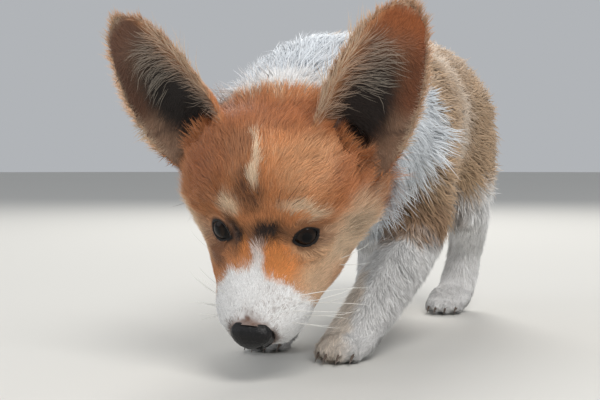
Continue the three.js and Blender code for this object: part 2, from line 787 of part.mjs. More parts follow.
function meshOf(name, solid, material) {
  const { vertProperties, triVerts, numProp } = largest(solid).getMesh();
  const count = vertProperties.length / numProp;
  const place = new Float32Array(count * 3);
  for (let i = 0; i < count; i++) place.set(vertProperties.subarray(i * numProp, i * numProp + 3), i * 3);
  const geometry = new THREE.BufferGeometry();
  geometry.setAttribute("position", new THREE.BufferAttribute(place, 3));
  geometry.setIndex(new THREE.BufferAttribute(new Uint32Array(triVerts), 1));
  const mesh = new THREE.Mesh(geometry, material);
  mesh.name = name;
  return mesh;
}

const dog = new THREE.Group();
dog.add(meshOf("head", head, RED));
dog.add(meshOf("nose", nose, BLACK));
for (const name in eyeballs) dog.add(meshOf(name, eyeballs[name], BLACK));
for (const name in ears) dog.add(meshOf(name, ears[name], RED));
dog.add(meshOf("neck", neckSolid, WHITE));
dog.add(meshOf("torso", torsoSolid, RED));
dog.add(meshOf("tail", tailSolid, RED));
for (const name in legSolids) dog.add(meshOf(name, legSolids[name], WHITE));

// The middle of the outline goes over the origin
const outlineBox = new THREE.Box3().setFromObject(dog);
const shift = outlineBox.getCenter(vector());
for (const mesh of dog.children) mesh.geometry.translate(-shift.x, -shift.y, -outlineBox.min.z);

export default dog;
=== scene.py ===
from math import radians

import bmesh
import bpy
import numpy as np
from mathutils import Matrix, Vector
from mathutils.bvhtree import BVHTree


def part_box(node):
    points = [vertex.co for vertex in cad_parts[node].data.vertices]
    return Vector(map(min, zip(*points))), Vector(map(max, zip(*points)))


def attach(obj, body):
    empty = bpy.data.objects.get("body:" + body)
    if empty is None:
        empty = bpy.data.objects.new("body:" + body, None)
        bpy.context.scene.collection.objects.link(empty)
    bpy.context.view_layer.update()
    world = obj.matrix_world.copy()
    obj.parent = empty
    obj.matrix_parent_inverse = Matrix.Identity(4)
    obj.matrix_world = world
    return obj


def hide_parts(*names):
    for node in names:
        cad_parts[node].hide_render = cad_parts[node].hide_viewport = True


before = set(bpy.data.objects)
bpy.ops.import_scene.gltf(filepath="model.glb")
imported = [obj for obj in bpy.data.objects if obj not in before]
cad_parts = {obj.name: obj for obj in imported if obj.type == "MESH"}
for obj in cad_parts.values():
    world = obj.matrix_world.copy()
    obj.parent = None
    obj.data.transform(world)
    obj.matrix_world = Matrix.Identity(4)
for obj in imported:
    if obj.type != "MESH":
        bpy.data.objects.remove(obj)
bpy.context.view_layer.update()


# Axes of the dog. The head hangs low, turned a little to the dog's left. Its own axes start
# between the eyes, with the nose towards -Y and the crown towards +Z. The body's start on the
# floor under the trunk. Both are in millimetres, and both hang on where the eyes are.
HEAD_TURN = (
    Matrix.Rotation(radians(4), 3, "Z")
    @ Matrix.Rotation(radians(3), 3, "Y")
    @ Matrix.Rotation(radians(66), 3, "X")
)
EYE_IN_HEAD = Vector((0.01908, -0.00007, -0.00134))
HEAD_IN_BODY = Vector((-0.001, -0.209, 0.078))


def middle(node):
    low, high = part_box(node)
    return (low + high) / 2


between_eyes = (middle("eye_left") + middle("eye_right")) / 2
head_start = between_eyes - HEAD_TURN @ Vector((0, EYE_IN_HEAD.y, EYE_IN_HEAD.z))
body_start = head_start - HEAD_IN_BODY


def from_body(x, y, z):
    """A place on the body's axes, in metres."""
    return body_start + Vector((x, y, z)) / 1000


# Camera. It stands low in front of the dog, a little to its left, and looks almost level.
camera_data = bpy.data.cameras.new("camera")
camera_data.lens = 69.6
camera_data.sensor_width = 36
camera = bpy.data.objects.new("camera", camera_data)
camera.location = from_body(209.1, -738.4, 110)
camera.rotation_euler = (radians(88.12), 0, radians(20))
bpy.context.scene.collection.objects.link(camera)
bpy.context.scene.camera = camera


# Studio. A pale matt floor, a large soft lamp high on the dog's left, a weaker one on its
# right, a pale one behind that lights the rims of the ears, and an even grey sky.
def paint(name, colour, roughness):
    material = bpy.data.materials.new(name)
    material.use_nodes = True
    shader = material.node_tree.nodes["Principled BSDF"]
    shader.inputs["Base Color"].default_value = (*colour, 1)
    shader.inputs["Roughness"].default_value = roughness
    return material


def meshed(form, name):
    mesh = bpy.data.meshes.new(name)
    form.to_mesh(mesh)
    form.free()
    return mesh


def put(name, mesh):
    piece = bpy.data.objects.new(name, mesh)
    bpy.context.scene.collection.objects.link(piece)
    return piece


floor_form = bmesh.new()
bmesh.ops.create_circle(floor_form, cap_ends=True, segments=96, radius=12)
floor_mesh = meshed(floor_form, "floor")
floor_mesh.materials.append(paint("pale_floor", (0.62, 0.61, 0.58), 0.9))
put("floor", floor_mesh)


def soft_lamp(name, place, size, power, colour):
    lamp = bpy.data.lights.new(name, "AREA")
    lamp.shape = "DISK"
    lamp.size = size
    lamp.energy = power
    lamp.color = colour
    stand = bpy.data.objects.new(name, lamp)
    stand.location = place
    aim = Vector((0, -0.05, 0.1)) - Vector(place)
    stand.rotation_euler = aim.to_track_quat("-Z", "Y").to_euler()
    bpy.context.scene.collection.objects.link(stand)


soft_lamp("key_lamp", (0.9, -1.1, 1.5), 1.1, 26, (1, 0.98, 0.95))
soft_lamp("fill_lamp", (-1.3, -1.0, 0.8), 1.4, 5, (0.94, 0.97, 1))
soft_lamp("rim_lamp", (-0.4, 1.5, 1.4), 0.9, 22, (1, 0.98, 0.94))
world = bpy.data.worlds.new("studio")
world.use_nodes = True
world.node_tree.nodes["Background"].inputs["Color"].default_value = (0.8, 0.83, 0.87, 1)
world.node_tree.nodes["Background"].inputs["Strength"].default_value = 0.55
bpy.context.scene.world = world
bpy.context.scene.view_settings.view_transform = "Standard"


# Skin. One unbroken skin covers the whole puppy. It is made from the solids of the flesh, grown
# into each other, smoothed, and drawn in by the depth of the coat. Under the ruff, whose locks
# fill the solid there, it is the neck's own round core.
FLESH = [
    "head", "neck", "torso", "tail", "ear_left", "ear_right",
    "leg_front_left", "leg_front_right", "leg_hind_left", "leg_hind_right",
]
# A ring of the neck's core holds its middle, and its reach to the side, upwards and downwards
NECK_RINGS = [
    (0, -38, 138, 44, 46, 42),
    (0, -62, 139, 45, 46, 41),
    (0, -88, 138, 46.5, 46.5, 41),
    (0, -112, 134, 47, 45, 41),
    (0, -128, 130.5, 45.5, 43.5, 39.5),
    (-1, -150, 120, 42, 39, 33),
    (-1, -170, 112, 34, 32, 24),
]
# The trunk's front is drawn in about its own axis, to lie under the ruff, and the throat is raised
CHEST_START, CHEST_RUN, CHEST_AXIS, CHEST_DRAWN_IN = -85, 35, 136, 0.17
THROAT_START, THROAT_RUN, THROAT_TOP, THROAT_RAISED = -182, 14, 92, 0.6
FLESH_SWELL = 0.0004
SKIN_CELL = 0.0015

head_axes = np.array(HEAD_TURN)


def in_head(points):
    """Places in metres, given on the head's axes."""
    return (points - np.array(head_start)) @ head_axes * 1000


def out_of_head(points):
    """Places on the head's axes, given back in metres."""
    return points @ head_axes.T / 1000 + np.array(head_start)


def in_body(points):
    """Places in metres, given on the body's axes."""
    return (points - np.array(body_start)) * 1000


def loft(form, rings, segments=40):
    """Ovals across a line of body points, bridged into a tube and closed at both ends."""
    loops = []
    centres = [Vector(ring[:3]) for ring in rings]
    for i, (*_, side, up, down) in enumerate(rings):
        along = centres[min(i + 1, len(rings) - 1)] - centres[max(i - 1, 0)]
        turn = along.to_track_quat("Z", "Y").to_matrix().to_4x4()
        made = bmesh.ops.create_circle(form, segments=segments, radius=1)
        across = turn.inverted() @ Vector((1, 0, 0))
        for v in made["verts"]:
            share = v.co.x * across.x + v.co.y * across.y
            rise = v.co.x * -across.y + v.co.y * across.x
            height = up if (turn @ Vector((-across.y, across.x, 0))).z * rise > 0 else down
            place = Vector((across.x, across.y, 0)) * share * side
            place += Vector((-across.y, across.x, 0)) * rise * height
            v.co = turn @ place + centres[i]
        loops.append(list({e for v in made["verts"] for e in v.link_edges}))
    for one, other in zip(loops, loops[1:]):
        bmesh.ops.bridge_loops(form, edges=one + other)
    bmesh.ops.holes_fill(form, edges=loops[0] + loops[-1], sides=0)


def grown_together(form, name, cell, smoothings):
    """One mesh of even cells, which a form's solids are grown into, smoothed so many times."""
    piece = put("raw_" + name, meshed(form, "raw_" + name))
    grown = piece.modifiers.new("grown", "REMESH")
    grown.mode = "VOXEL"
    grown.voxel_size = cell
    soft = piece.modifiers.new("soft", "SMOOTH")
    soft.factor = 0.5
    soft.iterations = smoothings
    bpy.context.view_layer.update()
    mesh = bpy.data.meshes.new_from_object(piece.evaluated_get(bpy.context.evaluated_depsgraph_get()))
    bpy.data.objects.remove(piece)
    mesh.name = name
    return mesh


flesh_form = bmesh.new()
label_points, label_faces, label_parts = [], [], []
for name in FLESH + ["nose", "eye_left", "eye_right"]:
    part = bmesh.new()
    if name == "neck":
        loft(part, NECK_RINGS)
        bmesh.ops.recalc_face_normals(part, faces=part.faces)
        for v in part.verts:
            v.co = from_body(*v.co)
    else:
        part.from_mesh(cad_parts[name].data)
        bmesh.ops.remove_doubles(part, verts=part.verts, dist=1e-5)
    if name == "torso":
        for v in part.verts:
            x, y, z = in_body(np.array([v.co]))[0]
            narrowed = 1 - CHEST_DRAWN_IN * min(1, max(0, (CHEST_START - y) / CHEST_RUN))
            v.co = from_body(x * narrowed, y, CHEST_AXIS + (z - CHEST_AXIS) * narrowed)
    if name == "head":
        for v in part.verts:
            x, y, z = in_body(np.array([v.co]))[0]
            throat = min(1, max(0, (y - THROAT_START) / THROAT_RUN))
            v.co = from_body(x, y, z + throat * THROAT_RAISED * max(0, THROAT_TOP - z))
    part.normal_update()
    for v in part.verts:
        v.co += v.normal * FLESH_SWELL
    copy = meshed(part, name + "_copy")
    flesh_form.from_mesh(copy)
    bpy.data.meshes.remove(copy)
    if name in FLESH:
        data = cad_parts[name].data
        start = len(label_points)
        label_points += [v.co.copy() for v in data.vertices]
        label_faces += [[start + i for i in face.vertices] for face in data.polygons]
        label_parts += [FLESH.index(name)] * len(data.polygons)
skin_mesh = grown_together(flesh_form, "skin", SKIN_CELL, 4)

# Only the largest closed surface is skin. It is cut twice round each eye, for the lids.
EYE_SIDES = (1, -1)
EYE_RADIUS = 8.3
EYE_GAZE = {1: (0.4, -0.62, 0.67), -1: (-0.62, -0.62, 0.67)}
EYE_TILT = radians(24)
FINE_REACH = (14, 12.5)


def eye_axes(side):
    """The eye's centre and its axes: across it away from the nose, towards the brow, the gaze."""
    centre = np.array([side * EYE_IN_HEAD.x, EYE_IN_HEAD.y, EYE_IN_HEAD.z]) * 1000
    gaze = np.array(EYE_GAZE[side])
    gaze /= np.linalg.norm(gaze)
    brow = np.array([0, 0.75, 0.66])
    brow -= brow @ gaze * gaze
    brow /= np.linalg.norm(brow)
    across = np.cross(brow, gaze) * side
    corner = across * np.cos(EYE_TILT) + brow * np.sin(EYE_TILT)
    lid = brow * np.cos(EYE_TILT) - across * np.sin(EYE_TILT)
    return centre, corner, lid, gaze


skin_form = bmesh.new()
skin_form.from_mesh(skin_mesh)
skin_form.verts.ensure_lookup_table()
unseen = set(skin_form.verts)
shells = []
while unseen:
    waiting = [unseen.pop()]
    shell = list(waiting)
    while waiting:
        v = waiting.pop()
        for e in v.link_edges:
            other = e.other_vert(v)
            if other in unseen:
                unseen.remove(other)
                shell.append(other)
                waiting.append(other)
    shells.append(shell)
shells.sort(key=len)
for shell in shells[:-1]:
    bmesh.ops.delete(skin_form, geom=shell, context="VERTS")
for reach in FINE_REACH:
    places = in_head(np.array([v.co for v in skin_form.verts]))
    near = np.zeros(len(places), bool)
    for side in EYE_SIDES:
        centre, _, _, gaze = eye_axes(side)
        away = places - centre
        near |= (np.linalg.norm(away, axis=1) < reach) & (away @ gaze > 0)
    chosen = {v for v, keep in zip(skin_form.verts, near) if keep}
    edges = [e for e in skin_form.edges if e.verts[0] in chosen and e.verts[1] in chosen]
    bmesh.ops.subdivide_edges(skin_form, edges=edges, cuts=1, use_grid_fill=True)
bmesh.ops.triangulate(skin_form, faces=skin_form.faces)
skin_form.to_mesh(skin_mesh)
skin_form.free()


def rows_of(items, what, width, kind=float):
    """What each of a mesh's points, edges or triangles holds, in a row of its own."""
    flat = np.empty(len(items) * width, kind)
    items.foreach_get(what, flat)
    return flat.reshape(-1, width)


def corners(mesh):
    """All points of a mesh, in metres."""
    return rows_of(mesh.vertices, "co", 3)


def upright(mesh):
    """The way that the mesh faces at each point."""
    return rows_of(mesh.vertex_normals, "vector", 3, np.float32).astype(float)


def reshape(mesh, points):
    mesh.vertices.foreach_set("co", points.ravel())
    mesh.update()


# Each point's neighbours along the skin's edges, in one list that is sorted by point
pairs = rows_of(skin_mesh.edges, "vertices", 2, np.int64)
pairs = np.concatenate([pairs, pairs[:, ::-1]])
pairs = pairs[np.argsort(pairs[:, 0], kind="stable")]
count = np.bincount(pairs[:, 0], minlength=len(skin_mesh.vertices))
first = np.concatenate([[0], np.cumsum(count)[:-1]])


def even(values, times):
    """Each value drawn halfway to the mean of its neighbours on the skin, so many times over."""
    shape = (-1,) + (1,) * (values.ndim - 1)
    for _ in range(times):
        values = 0.5 * values + 0.5 * np.add.reduceat(values[pairs[:, 1]], first) / count.reshape(shape)
    return values


def ramp(x, low, high):
    """0 below low, 1 above high, and smooth between them. Low may be the greater."""
    t = np.clip((x - low) / (high - low), 0, 1)
    return t * t * (3 - 2 * t)


# Each point takes the name of the nearest solid, and the names run into each other at the joins
place = corners(skin_mesh)
cad_tree = BVHTree.FromPolygons(label_points, label_faces)
found = [cad_tree.find_nearest(Vector(p))[2] for p in place]
label = np.array(label_parts)[found]
share = even(np.eye(len(FLESH))[label], 10)
head_share, neck_share, torso_share, tail_share = share[:, :4].T
ear_share = share[:, 4] + share[:, 5]
front_share = share[:, 6] + share[:, 7]
hind_share = share[:, 8] + share[:, 9]
leg_share = front_share + hind_share
on_ear = even(np.isin(label, (4, 5)).astype(float), 3)

# How deep the coat is over the skin, in millimetres
hx, hy, hz = in_head(place).T
bx, by, bz = in_body(place).T
depth = head_share * (
    0.5 + 0.6 * ramp(hy, -25, 10) + 1.5 * ramp(hy, 15, 45) + 0.7 * ramp(abs(hx), 28, 42)
)
depth += torso_share * 6 + tail_share * 4 + neck_share * 1
depth += leg_share * (1.4 + 1.1 * ramp(bz, 18, 40) + 3.5 * ramp(bz, 55, 95))
depth = even(depth, 12) * (1 - on_ear) + 0.4 * on_ear
up_facing = ramp(upright(skin_mesh)[:, 2], 0.2, 0.7)
depth += 5 * torso_share * ramp(by, -35, -75) * up_facing
place = place - upright(skin_mesh) * depth[:, None] / 1000

# Behind the nose leather it is flat
NOSE_BED, NOSE_BED_SIZE, NOSE_BED_FRONT = (-1.6, -50, -13), (10.9, 9, 9.5), -49
head_place = in_head(place)
nose_share = np.linalg.norm((head_place - np.array(NOSE_BED)) / NOSE_BED_SIZE, axis=1)
head_place[:, 1] += ramp(nose_share, 1.1, 0.95) * np.maximum(0, NOSE_BED_FRONT - head_place[:, 1])
place = out_of_head(head_place)
reshape(skin_mesh, place)

# Lids. Each is a fold of bare black skin that starts inside the eyeball, climbs out of it at the
# rim of the opening, swells a little and slopes off into the face.
EYE_HALF_WIDTH = 7.2
EYE_HALF_HEIGHT = {1: 3.8, -1: 5.6}
RIM_WIDTH = {1: 2.6, -1: 3.6}
LID_INSIDE, LID_CLIMB, LID_SWELL = 1.4, 1.85, 0.6
lid_black = np.zeros(len(place))
lid_edge = np.full(len(place), 20.0)
head_place = in_head(place)
for side in EYE_SIDES:
    centre, corner, lid, gaze = eye_axes(side)
    away = head_place - centre
    distance = np.linalg.norm(away, axis=1)
    a, b, t = away @ corner, away @ lid, away @ gaze
    here = (distance < 20) & (t > -1)
    half_height = EYE_HALF_HEIGHT[side]
    almond = (a / EYE_HALF_WIDTH) ** 2 + np.abs(b) / half_height
    edge = (almond - 1) / np.hypot(2 * a / EYE_HALF_WIDTH**2, 1 / half_height)
    wanted = EYE_RADIUS - LID_INSIDE + LID_CLIMB * ramp(edge, -0.1, 0.45)
    wanted += LID_SWELL * ramp(edge, 0.3, 1.3)
    natural = ramp(edge, 1.6, 6.5)
    radius = wanted * (1 - natural) + np.maximum(distance, EYE_RADIUS + 0.3) * natural
    moved = centre + away * (radius / np.maximum(distance, 1e-6))[:, None]
    head_place = np.where(here[:, None], moved, head_place)
    lid_black = np.where(here, np.maximum(lid_black, ramp(edge, RIM_WIDTH[side], 1.2)), lid_black)
    lid_edge = np.where(here, np.minimum(lid_edge, edge), lid_edge)
place = out_of_head(head_place)
reshape(skin_mesh, place)

# Markings. A puppy's red-tan coat with a white muzzle, blaze, ruff, chest and legs. Skin and
# coat take their colours from this one chart of soft-edged patches on the head and the body.
def linear(red, green, blue):
    """A colour given from 0 to 255, as the shader counts light."""
    s = np.array([red, green, blue]) / 255
    return np.where(s <= 0.04045, s / 12.92, ((s + 0.055) / 1.055) ** 2.4)


RED_TAN = linear(197, 129, 79)
DEEP_RED = linear(164, 96, 54)
ORANGE = linear(216, 138, 74)
BROWN = linear(104, 68, 46)
BLACK_BROWN = linear(32, 25, 23)
TAN = linear(214, 170, 130)
CREAM = linear(226, 202, 172)
WHITE = linear(236, 235, 234)
BLUE_WHITE = linear(216, 221, 226)
FAWN = linear(188, 158, 126)
PALE_FAWN = linear(218, 200, 180)
GROIN_SHADE_BROWN = linear(128, 112, 100)
NOSE_MIDDLE = (-1.6, -51, -12.5)
# Soft spots of the face: colour, strength, how much of it is in streaks, middle and half size
FACE_SPOTS = {
    # Painted sunlight makes the left side of the forehead paler, and painted shade darkens its right
    # side
    "forehead, left, painted sunlight": (TAN, 0.4, 0, (22, 22, 24), (14, 18, 12)),
    "forehead, right": (DEEP_RED, 0.75, 0, (-22, 24, 20), (13, 18, 13)),
    "forehead, right, shade": (BROWN, 0.35, 0, (-24, 22, 18), (13, 18, 13)),
    "forehead, beside the stripe": (BROWN, 0.5, 0, (-9, 26, 24), (7, 14, 12)),
    "between the brows": (BROWN, 0.75, 0.3, (-3.5, 8, 22), (7.5, 12, 9)),
    "temple, left": (DEEP_RED, 0.6, 0, (40, 22, 12), (10, 20, 14)),
    "temple, right": (DEEP_RED, 0.55, 0, (-34, 26, 12), (10, 20, 16)),
    "crown": (DEEP_RED, 0.75, 0, (2, 46, 20), (36, 13, 22)),
    "crown, before the left ear": (DEEP_RED, 0.8, 0, (29, 47, 15), (4, 11, 9)),
    "crown, before the right ear": (DEEP_RED, 0.8, 0, (-28, 54, 16), (5, 6, 8)),
    "under the left eye": (TAN, 0.9, 0, (26, -16, -3), (13, 13, 14)),
    "cheek, left": (CREAM, 0.85, 0, (40, 0, -12), (15, 20, 16)),
    "lip, left": (CREAM, 0.6, 0, (28, -30, -18), (10, 16, 14)),
    "cheek, right": (CREAM, 0.75, 0, (-38, 0, -14), (14, 18, 14)),
    "bridge, left": (ORANGE, 0.9, 0, (9.5, -20, 1), (11, 10, 9)),
    "bridge, right": (ORANGE, 0.8, 0, (-8.5, -13.5, 4), (3.5, 5, 6)),
    "brow, right": (CREAM, 0.85, 0, (-14, 2, 17), (5, 5, 6)),
    "brow, left": (CREAM, 0.85, 0, (22, 3.2, 15), (12, 3.2, 7)),
    "under the left brow": (ORANGE, 0.6, 0, (20, 0.5, 14), (6, 1.6, 5)),
}


def ripple(points, size, seed):
    """Soft noise over points, about -1 to 1, with waves some four times the size in millimetres."""
    draw = np.random.default_rng(seed)
    total = np.zeros(len(points))
    for _ in range(7):
        total += np.sin(points @ draw.standard_normal(3) * 1000 / size + draw.uniform(0, 6.28))
    return total / 2.6


def patch(colours, colour, amount):
    """Colours with one more laid over them, by an amount from 0 to 1 at each point."""
    return colours + (colour - colours) * np.clip(amount, 0, 1)[:, None]


def band(value, centre, half):
    """1 in the middle of a band and 0 outside it."""
    return 1 - ramp(np.abs(value - centre), half * 0.4, half)


def chart(points, weights):
    """The coat's colour at points, given their shares of head, neck, torso, tail, ears and legs."""
    stir = np.stack([ripple(points, 1.6, seed) for seed in (1, 2, 3)], 1)
    waves = np.stack([ripple(points, 5, seed) for seed in (4, 5, 6)], 1)
    x, y, z = (in_head(points) + stir * (0.5, 1.1, 0.6) + waves * (0.6, 0.8, 0.6)).T
    u, v, w = (in_body(points) + stir * (1.5, 2.5, 1.5) + waves * (3, 5, 3)).T
    head_w, neck_w, torso_w, tail_w, ear_w, front_w, hind_w = weights.T

    def spot(centre, size, soft=0.5):
        """1 inside an egg-shaped spot on the head and 0 outside it."""
        d = np.sqrt(sum(((c - m) / s) ** 2 for c, m, s in zip((x, y, z), centre, size)))
        return 1 - ramp(d, 1 - soft, 1 + soft)

    face = np.tile(RED_TAN, (len(points), 1))
    streaks = ripple(points * (1, 0.3, 0.5), 0.5, 8)
    face = patch(face, TAN, 0.1 + 0.3 * streaks * ramp(y, 0, 12))
    for colour, strength, streaked, centre, size in FACE_SPOTS.values():
        face = patch(face, colour, (strength + streaked * streaks) * spot(centre, size))
    # A white blaze runs down between the eyes, and a thin cream stripe up the forehead
    blaze = 1 - ramp(np.abs(x + 1.4 - 0.12 * (y + 20)), 1.2, 4)
    face = patch(face, WHITE, 0.8 * blaze * ramp(y, -8, -17))
    stripe = 1 - ramp(np.abs(x + 2.3 + (y - 22) * 0.12), 1.2, 2.4)
    face = patch(face, CREAM, 0.9 * stripe * ramp(y, 9, 13) * ramp(y, 36, 32) * ramp(z, 5, 15))
    # The muzzle is white up to a curved edge under the eyes, and so is the chin
    edge = -21.5 - 4.5 * ramp(x, 0, 4) - 0.014 * np.maximum(0, x - 4) ** 2
    edge -= 0.09 * np.maximum(0, -13 - x) ** 2
    white = ramp(y - edge, 2.5, -2.5)
    face = patch(face, WHITE, np.maximum(white, ramp(z, -24, -33)))
    # Specks over the nose, and a dark fringe round it
    speckle = ramp(ripple(points, 0.42, 9), 0.1, 0.5)
    face = patch(face, BROWN, (0.25 + 0.55 * speckle) * spot((-1.5, -45, -7), (5, 4.2, 5)))
    freckle = ramp(ripple(points, 0.6, 10), 0.6, 0.9)
    face = patch(face, BROWN, 0.5 * freckle * spot((9, -37, -8), (9, 8, 9)))
    face = patch(face, BROWN, 0.8 * spot(NOSE_MIDDLE, (12.6, 9, 10.4), 0.12))
    # A dark smudge at the inner corner of each eye, and a brown ring round each
    face = patch(face, BLACK_BROWN, 0.98 * spot((5.5, -8.8, 10), (11.5, 5.2, 7), 0.6))
    face = patch(face, BLACK_BROWN, 0.98 * spot((-13.5, -8.5, 7), (5.6, 7.5, 7), 0.6))
    for side in EYE_SIDES:
        from_eye = np.linalg.norm(np.stack([x, y, z], 1) - eye_axes(side)[0], axis=1)
        face = patch(face, BROWN, 0.6 * ramp(from_eye, EYE_RADIUS + 4.5, EYE_RADIUS + 1))
    face = patch(face, BROWN, 0.75 * spot((-23, -14, -5), (6, 6.5, 7)))
    # Behind the ears the red ends
    face = patch(face, CREAM, 0.6 * ramp(y, 60, 64))
    face = patch(face, WHITE, ramp(y, 63, 67))

    ear = np.tile(RED_TAN, (len(points), 1))
    ear = patch(ear, DEEP_RED, 0.35 * ramp(x, 0, 10))

    # Fawn, with a paler band behind the shoulders, partly paler fur and partly a painted highlight on
    # the lit left side, cream at the rump as painted rim light, white below and in front
    trunk = np.tile(FAWN, (len(points), 1))
    # Painted highlight: the pale band is twice as strong on the lit left side as on the right
    pale_band_and_highlight = band(v + 0.6 * np.maximum(0, w - 150), 2, 26) * (0.5 + 0.5 * ramp(u, -10, 30))
    trunk = patch(trunk, PALE_FAWN, 0.65 * pale_band_and_highlight)
    # Painted rim light: the rump is painted cream where the light from behind gives it a pale rim
    trunk = patch(trunk, CREAM, 0.7 * ramp(v, 88, 112))
    trunk = patch(trunk, WHITE, ramp(w, 88, 72))
    trunk = patch(trunk, BLUE_WHITE, ramp(v, -84, -92))

    # White legs. The fawn comes down behind the elbow, which is brown, and down the thigh.
    front = np.tile(WHITE * 0.84, (len(points), 1))
    behind = ramp(v + 0.4 * np.maximum(0, 94 - w), -89, -81)
    front = patch(front, FAWN, ramp(w, 62, 74) * behind)
    elbow = ramp(np.hypot((w - 78) / 16, (v + 78) / 18), 1.25, 0.75)
    front = patch(front, BROWN, 0.5 * elbow * behind)
    front = patch(front, PALE_FAWN, 0.7 * ramp(np.abs(u), 24, 16) * ramp(w, 110, 70))
    hind = patch(trunk, WHITE, ramp(w, 102, 92))
    # Painted shade: the groin between the belly and the thigh is painted grey-brown, as it lies in
    # shadow
    groin_shade = 0.7 * ramp(u, 46, 38) * ramp(w, 58, 70) * ramp(w, 108, 90) * ramp(v, 88, 76)
    hind = patch(hind, GROIN_SHADE_BROWN, groin_shade)
    tail = patch(np.tile(FAWN, (len(points), 1)), WHITE, 0.8 * ramp(w, 150, 142))
    ruff = np.tile(BLUE_WHITE, (len(points), 1))
    ruff = patch(ruff, FAWN, ramp(v, -92, -72) * ramp(w, 120, 150))

    return (
        face * head_w[:, None] + ear * ear_w[:, None] + ruff * neck_w[:, None]
        + trunk * torso_w[:, None] + tail * tail_w[:, None]
        + front * front_w[:, None] + hind * hind_w[:, None]
    )


# What the chart needs to know of each point of the skin
weights = np.stack(
    [head_share, neck_share, torso_share, tail_share, ear_share, front_share, hind_share], 1
)
skin_colour = chart(place, weights)

# Inside, each ear is brown-pink at the tip, pale and hairy across the middle, and has painted shade in
# the cup and along a small fold at its outer edge. The dog's left ear has the light on it, painted into
# its lining.
LIT_EAR, SHADED_EAR = linear(152, 86, 46), linear(112, 76, 56)
EAR_GREY, EAR_BROWN = linear(98, 80, 64), linear(72, 44, 28)
EAR_EDGE, EAR_FOOT = linear(190, 132, 88), linear(142, 112, 90)
CUP_SHADE_BLACK, FOLD_SHADE_BROWN = linear(22, 16, 14), linear(60, 42, 36)
EAR_BASE = {1: (40, 47, 11), -1: (-46, 50, 11)}
EAR_AXIS = {1: (0.36, 0.85, 0.39), -1: (-0.7, 0.67, 0.3)}
EAR_LENGTH = 68
EAR_SHAPE = ((-0.27, 0, 0.15, 0.45, 0.72, 0.89, 1), (16.5, 22.8, 23.5, 22.1, 17.6, 12, 2.4))


def ear_axes(side):
    """An ear's base and its axes: towards the tip, away from the crown, and out of the cup."""
    axis = np.array(EAR_AXIS[side])
    axis /= np.linalg.norm(axis)
    opening = np.array([side * 0.42, -0.37, 0.83])
    opening -= opening @ axis * axis
    opening /= np.linalg.norm(opening)
    return np.array(EAR_BASE[side]), axis, np.cross(axis, opening) * side, opening


def ear_lining(x, along, out):
    """Colour inside an ear at a share of its length and of its half width, -1 to 1."""
    lining = np.where((x > 0)[:, None], LIT_EAR, SHADED_EAR)
    pale = ramp(along, 0.86, 0.6)
    lining = patch(lining, EAR_GREY, 0.7 * pale * ramp(out, 0.75, 0.2))
    lining = patch(lining, EAR_BROWN, 0.6 * pale * ramp(out, 0.1, 0.6))
    lining = patch(lining, EAR_EDGE, 0.7 * ramp(out, -0.6, -0.9))
    low = ramp(along, 0.36, 0.2) * ramp(out, 0.2, 0.6)
    lining = patch(lining, EAR_FOOT, 0.8 * low)
    # Painted shade: the deep cup is painted near black
    cup = np.hypot((along - 0.2) / 0.36, (out + 0.08) / 0.56)
    lining = patch(lining, CUP_SHADE_BLACK, 0.95 * ramp(cup, 1.4, 0.62))
    # Painted shade: a brown line along the crease of the small fold
    fold = ramp(abs(along - 0.1 - 0.16 * (out - 0.5)), 0.035, 0.012) * ramp(out, 0.15, 0.35)
    return patch(lining, FOLD_SHADE_BROWN, 0.45 * fold)


# Each point's place on its ear, and which way hair lies there: inside it fans out from the inner
# edge to the tip, and at the rim it stands off as a fringe
head_facing = upright(skin_mesh) @ head_axes
inside_ear, ear_along, ear_across = (np.zeros(len(place)) for _ in range(3))
ear_lie, rim_lie = np.zeros((len(place), 3)), np.zeros((len(place), 3))
ear_rim = np.zeros(len(place))
head_place = in_head(place)
for side in EYE_SIDES:
    base, axis, outwards, opening = ear_axes(side)
    away = head_place - base
    along = away @ axis / EAR_LENGTH
    out = away @ outwards / np.interp(along, *EAR_SHAPE)
    lean = head_facing @ opening
    own = hx * side > 0
    down_in = away - np.array([side * -0.1, 0.15, -0.45])
    down_in = np.stack([down_in @ outwards / 10, down_in @ axis / 18, down_in @ opening / 8.5])
    hollow = ramp(np.linalg.norm(down_in, axis=0), 1.5, 1.2) * ramp(along, -0.24, -0.1)
    hollow *= ramp(lean, -0.5, -0.15)
    inner = own * np.maximum(on_ear * ramp(lean, -0.15, 0.3), hollow)
    inside_ear = np.maximum(inside_ear, inner)
    ear_along = np.where(own, along, ear_along)
    ear_across = np.where(own, out, ear_across)
    sweep = outwards + axis * (0.5 - 1.1 * ramp(out, -0.8, 0.4))[:, None]
    sweep = sweep * ramp(along, 0.85, 0.6)[:, None] + axis * ramp(along, 0.6, 0.85)[:, None]
    ear_lie = np.where(own[:, None], sweep, ear_lie)
    fringe = outwards * (np.sign(out) * ramp(along, 1, 0.85))[:, None] + axis * 0.8
    rim_lie = np.where(own[:, None], fringe, rim_lie)
    at_rim = np.maximum(ramp(abs(out), 0.78, 0.92) * ramp(along, -0.08, 0.05), ramp(along, 0.9, 0.97))
    ear_rim = np.where(own, on_ear * at_rim, ear_rim)
lining = ear_lining(hx, ear_along, ear_across)
skin_colour += (lining - skin_colour) * inside_ear[:, None]
skin_colour += (BLACK_BROWN * 0.6 - skin_colour) * lid_black[:, None]


def store_colour(mesh, colours):
    """A colour for each point, which the mesh's material reads."""
    layer = mesh.color_attributes.new(name="coat", type="FLOAT_COLOR", domain="POINT")
    rgba = np.ones((len(colours), 4), np.float32)
    rgba[:, :3] = np.clip(colours, 0, 1)
    layer.data.foreach_set("color", rgba.ravel())


def rounded(mesh):
    """A mesh whose faces are lit as one smooth surface."""
    mesh.polygons.foreach_set("use_smooth", np.ones(len(mesh.polygons), bool))


